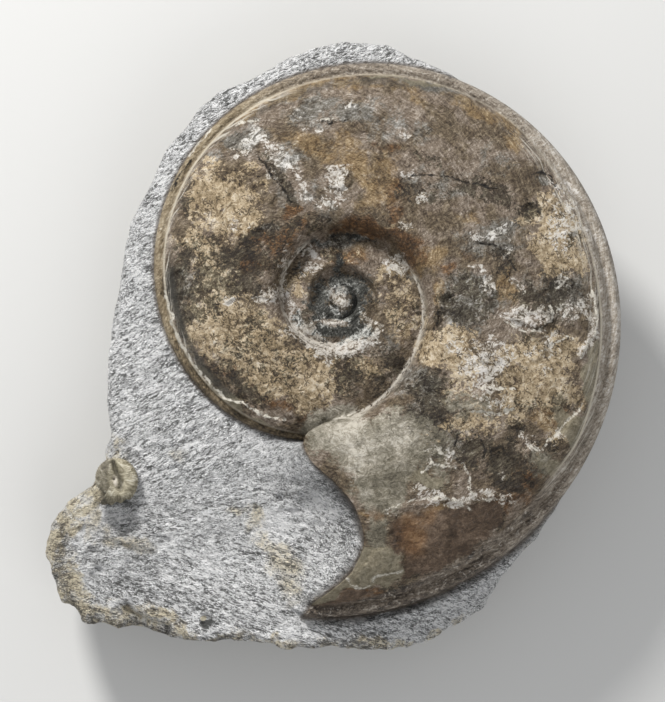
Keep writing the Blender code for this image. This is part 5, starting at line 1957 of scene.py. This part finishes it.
def rock_tone(tree, place, level):
    steep = use_group(tree, tool_strokes, Place=place, Turn=-0.5, Size=0.9)["Height"]
    falling = use_group(tree, tool_strokes, Place=place, Turn=0.33, Size=0.9)["Height"]
    parts = put(tree, "ShaderNodeSeparateXYZ", {0: place}).outputs
    slope = weigh(tree, parts[0], -0.35, parts[1])
    drift = weigh(tree, noise_of(tree, place, 12.0, 2.0), 12.0, slope)
    worked = blend(tree, soft_step(tree, drift, -44.0, -30.0), falling, level)
    worked = blend(tree, soft_step(tree, drift, -30.0, -14.0), worked, steep)
    lumps = noise_of(tree, place, 7.0, 4.0, 0.6, 0.3)
    grit = noise_of(tree, place, 0.45, 3.0, 0.7)
    tone = plus(tree, weigh(tree, lumps, 0.5, -0.25), worked)
    tone = weigh(tree, grit, 0.25, plus(tree, tone, -0.125))
    # the painted shade darkens the tone
    tone = weigh(tree, field(tree, "shade"), -0.24, tone)
    return weigh(tree, tone, 2.6, -0.4), lumps, grit


def rock_finish():
    made, tree, shader = new_finish("grey_limestone")
    place = in_millimetres(tree)
    level = use_group(tree, tool_strokes, Place=place, Turn=-0.15, Size=0.8)["Height"]
    tone, lumps, grit = rock_tone(tree, place, level)
    stain = frayed(tree, place, "stain", 4.4, 0.6, 0.4, 0.7)
    stone = paint(tree, palette(tree, tone, ROCK_SHADES), stain, 0.75, (228, 212, 172), "MULTIPLY")
    old = colour_run(
        tree, tone, (0.0, colour(66, 58, 43)), (0.25, colour(108, 97, 75)), (0.5, colour(152, 139, 110)),
        (0.9, colour(226, 214, 184)),
    )
    fresh = soft_step(tree, noise_of(tree, place, 3.2, 3.0, 0.6, 0.5), 0.5, 0.62)
    weathered = frayed(tree, place, "weathered", 9.2, 1.0, 0.6, 0.5)
    weathered = times(tree, weathered, weigh(tree, fresh, -0.55, 0.9))
    stone = blend(tree, weathered, stone, old)
    # Painted shade: the stone is darkened in the groove between the keel and the rock, which is also cut
    # lower there.
    groove = times(tree, field(tree, "groove"), soft_step(tree, lumps, 0.3, 0.5))
    stone = paint(tree, stone, groove, 0.8, (92, 84, 74), "MULTIPLY")
    stone = paint(tree, stone, soft_step(tree, field(tree, "pebble"), 0.4, 0.6), 1.0, (222, 213, 188))
    rim_line = soft_step(tree, size_of(tree, field(tree, "shell_gap")), 0.9, 0.2)
    stone = paint(tree, stone, rim_line, 0.7, (92, 78, 62))
    plug(tree, shader.inputs["Base Color"], stone)
    shader.inputs["Roughness"].default_value = 0.4
    shader.inputs["Specular IOR Level"].default_value = 1.0
    add_bump(tree, shader, weigh(tree, grit, 0.35, level), 1.0, 0.0009)
    return made


rock_piece.data.materials.append(rock_finish())
print("finish:", rock_piece.data.materials[0].name)

# %% [markdown]
# The small shell is cream on its right and olive-brown on its broken left half.

# %% the small shell's finish
SMALL_INNER = [(115, 481, 2.4, 6, 15, 1.0)]
SMALL_CREAM = [(80, 74, 56), (128, 120, 97), (170, 162, 138), (204, 197, 176), (234, 229, 214)]
SMALL_OLIVE = [(54, 49, 39), (90, 83, 67), (122, 115, 97), (160, 154, 137), (206, 202, 190)]


def small_fields(points):
    x, y, _ = points.T
    gap, _, _ = near_line(SMALL_COMMA, x, y)
    # where the comma-shaped hollow is, which the finish darkens as painted shade
    store(small_piece, "comma", 1 - smooth(0.2, 0.9, gap))
    store(small_piece, "inner", patch_field(x, y, SMALL_INNER))


small_fields(small_points)


def small_finish():
    made, tree, shader = new_finish("small_fossil_shell")
    place = in_millimetres(tree)
    threads = use_group(tree, fibres, Place=place, Length=1.0, Width=0.35, Bend=0.8)["Streaks"]
    mottled = stretched(tree, noise_of(tree, place, 1.6, 4.0, 0.65, 0.8))
    tone = blend(tree, 0.6, stretched(tree, threads), mottled)
    cream = palette(tree, tone, SMALL_CREAM)
    olive = palette(tree, tone, SMALL_OLIVE)
    parts = put(tree, "ShaderNodeSeparateXYZ", {0: place}).outputs
    left = weigh(tree, noise_of(tree, place, 2.0), 3.0, parts[0])
    skin = blend(tree, soft_step(tree, left, SMALL_CENTRE[0] - 0.4, SMALL_CENTRE[0] + 1.8), olive, cream)
    # Painted shade: the lower side of the small shell, which turns from the light, is made darker.
    low = weigh(tree, noise_of(tree, place, 1.2), 2.0, parts[1])
    below = soft_step(tree, low, SMALL_CENTRE[1] - 1.8, SMALL_CENTRE[1] - 3.6)
    skin = paint(tree, skin, below, 0.6, (150, 146, 138), "MULTIPLY")
    # Painted shade in the comma-shaped hollow.
    skin = paint(tree, skin, field(tree, "comma"), 0.85, (88, 82, 62), "MULTIPLY")
    skin = paint(tree, skin, field(tree, "inner"), 0.8, (192, 184, 173))
    plug(tree, shader.inputs["Base Color"], blend(tree, 1.0, skin, DIMMER, "MULTIPLY"))
    shader.inputs["Roughness"].default_value = 0.6
    add_bump(tree, shader, tone, 0.8, 0.0002)
    return made


small_piece.data.materials.append(small_finish())
print("finish:", small_piece.data.materials[0].name)

# %% [markdown]
# The camera looks straight down. Its lens follows from its height and the width of the picture.

# %% floor and camera
FLOOR_COLOUR = (0.49, 0.49, 0.483, 1)  # a little grey, because the lights are strong
floor_data = bpy.data.meshes.new("floor")
floor_data.from_pydata([(-3, -3, 0), (3, -3, 0), (3, 3, 0), (-3, 3, 0)], [], [(0, 1, 2, 3)])
floor = bpy.data.objects.new("floor", floor_data)
bpy.context.scene.collection.objects.link(floor)
floor_finish, _, floor_shader = new_finish("pale_floor")
floor_shader.inputs["Base Color"].default_value = FLOOR_COLOUR
floor_shader.inputs["Roughness"].default_value = 0.8
floor_data.materials.append(floor_finish)

PHOTO_WIDTH_MM = 146.3
VIEW_CENTRE = (-1.9, -11.0)
CAMERA_HEIGHT = 1300.0
SENSOR = 36
camera_data = bpy.data.cameras.new("camera")
camera_data.sensor_width = SENSOR
camera_data.sensor_fit = "HORIZONTAL"
camera_data.lens = SENSOR * (CAMERA_HEIGHT - KEEL_PLANE) / PHOTO_WIDTH_MM
camera_data.clip_start = 0.01
camera = bpy.data.objects.new("camera", camera_data)
camera.location = (VIEW_CENTRE[0] * MM, VIEW_CENTRE[1] * MM, CAMERA_HEIGHT * MM)
bpy.context.scene.collection.objects.link(camera)
bpy.context.scene.camera = camera
print("lens:", round(camera_data.lens), "mm")

# %% [markdown]
# The light comes from the top left, as the shadow in the umbilicus shows. A wide fill light and the world
# soften the shadows of the small key light.

# %% the lights
LIGHT_AIM = (0, 0, 0.03)


def soft_light(name, place, size, power, tint):
    data = bpy.data.lights.new(name, "AREA")
    data.shape = "DISK"
    data.size = size
    data.energy = power
    data.color = tint
    light = bpy.data.objects.new(name, data)
    light.location = place
    turn = Vector(place) - Vector(LIGHT_AIM)
    light.rotation_euler = turn.to_track_quat("Z", "Y").to_euler()
    bpy.context.scene.collection.objects.link(light)
    print("light:", light.name)


soft_light("key", (-0.33, 0.63, 0.48), 0.2, 11.4, (1.0, 0.985, 0.96))
soft_light("fill", (0.3, -0.6, 0.7), 0.8, 2.85, (1.0, 0.98, 0.95))
world = bpy.data.worlds.new("studio")
bpy.context.scene.world = world
world.use_nodes = True
sky = world.node_tree.nodes["Background"].inputs
sky["Color"].default_value = (0.95, 0.97, 1.0, 1)
sky["Strength"].default_value = 0.6
bpy.context.scene.view_settings.view_transform = "Standard"

# %% [markdown]
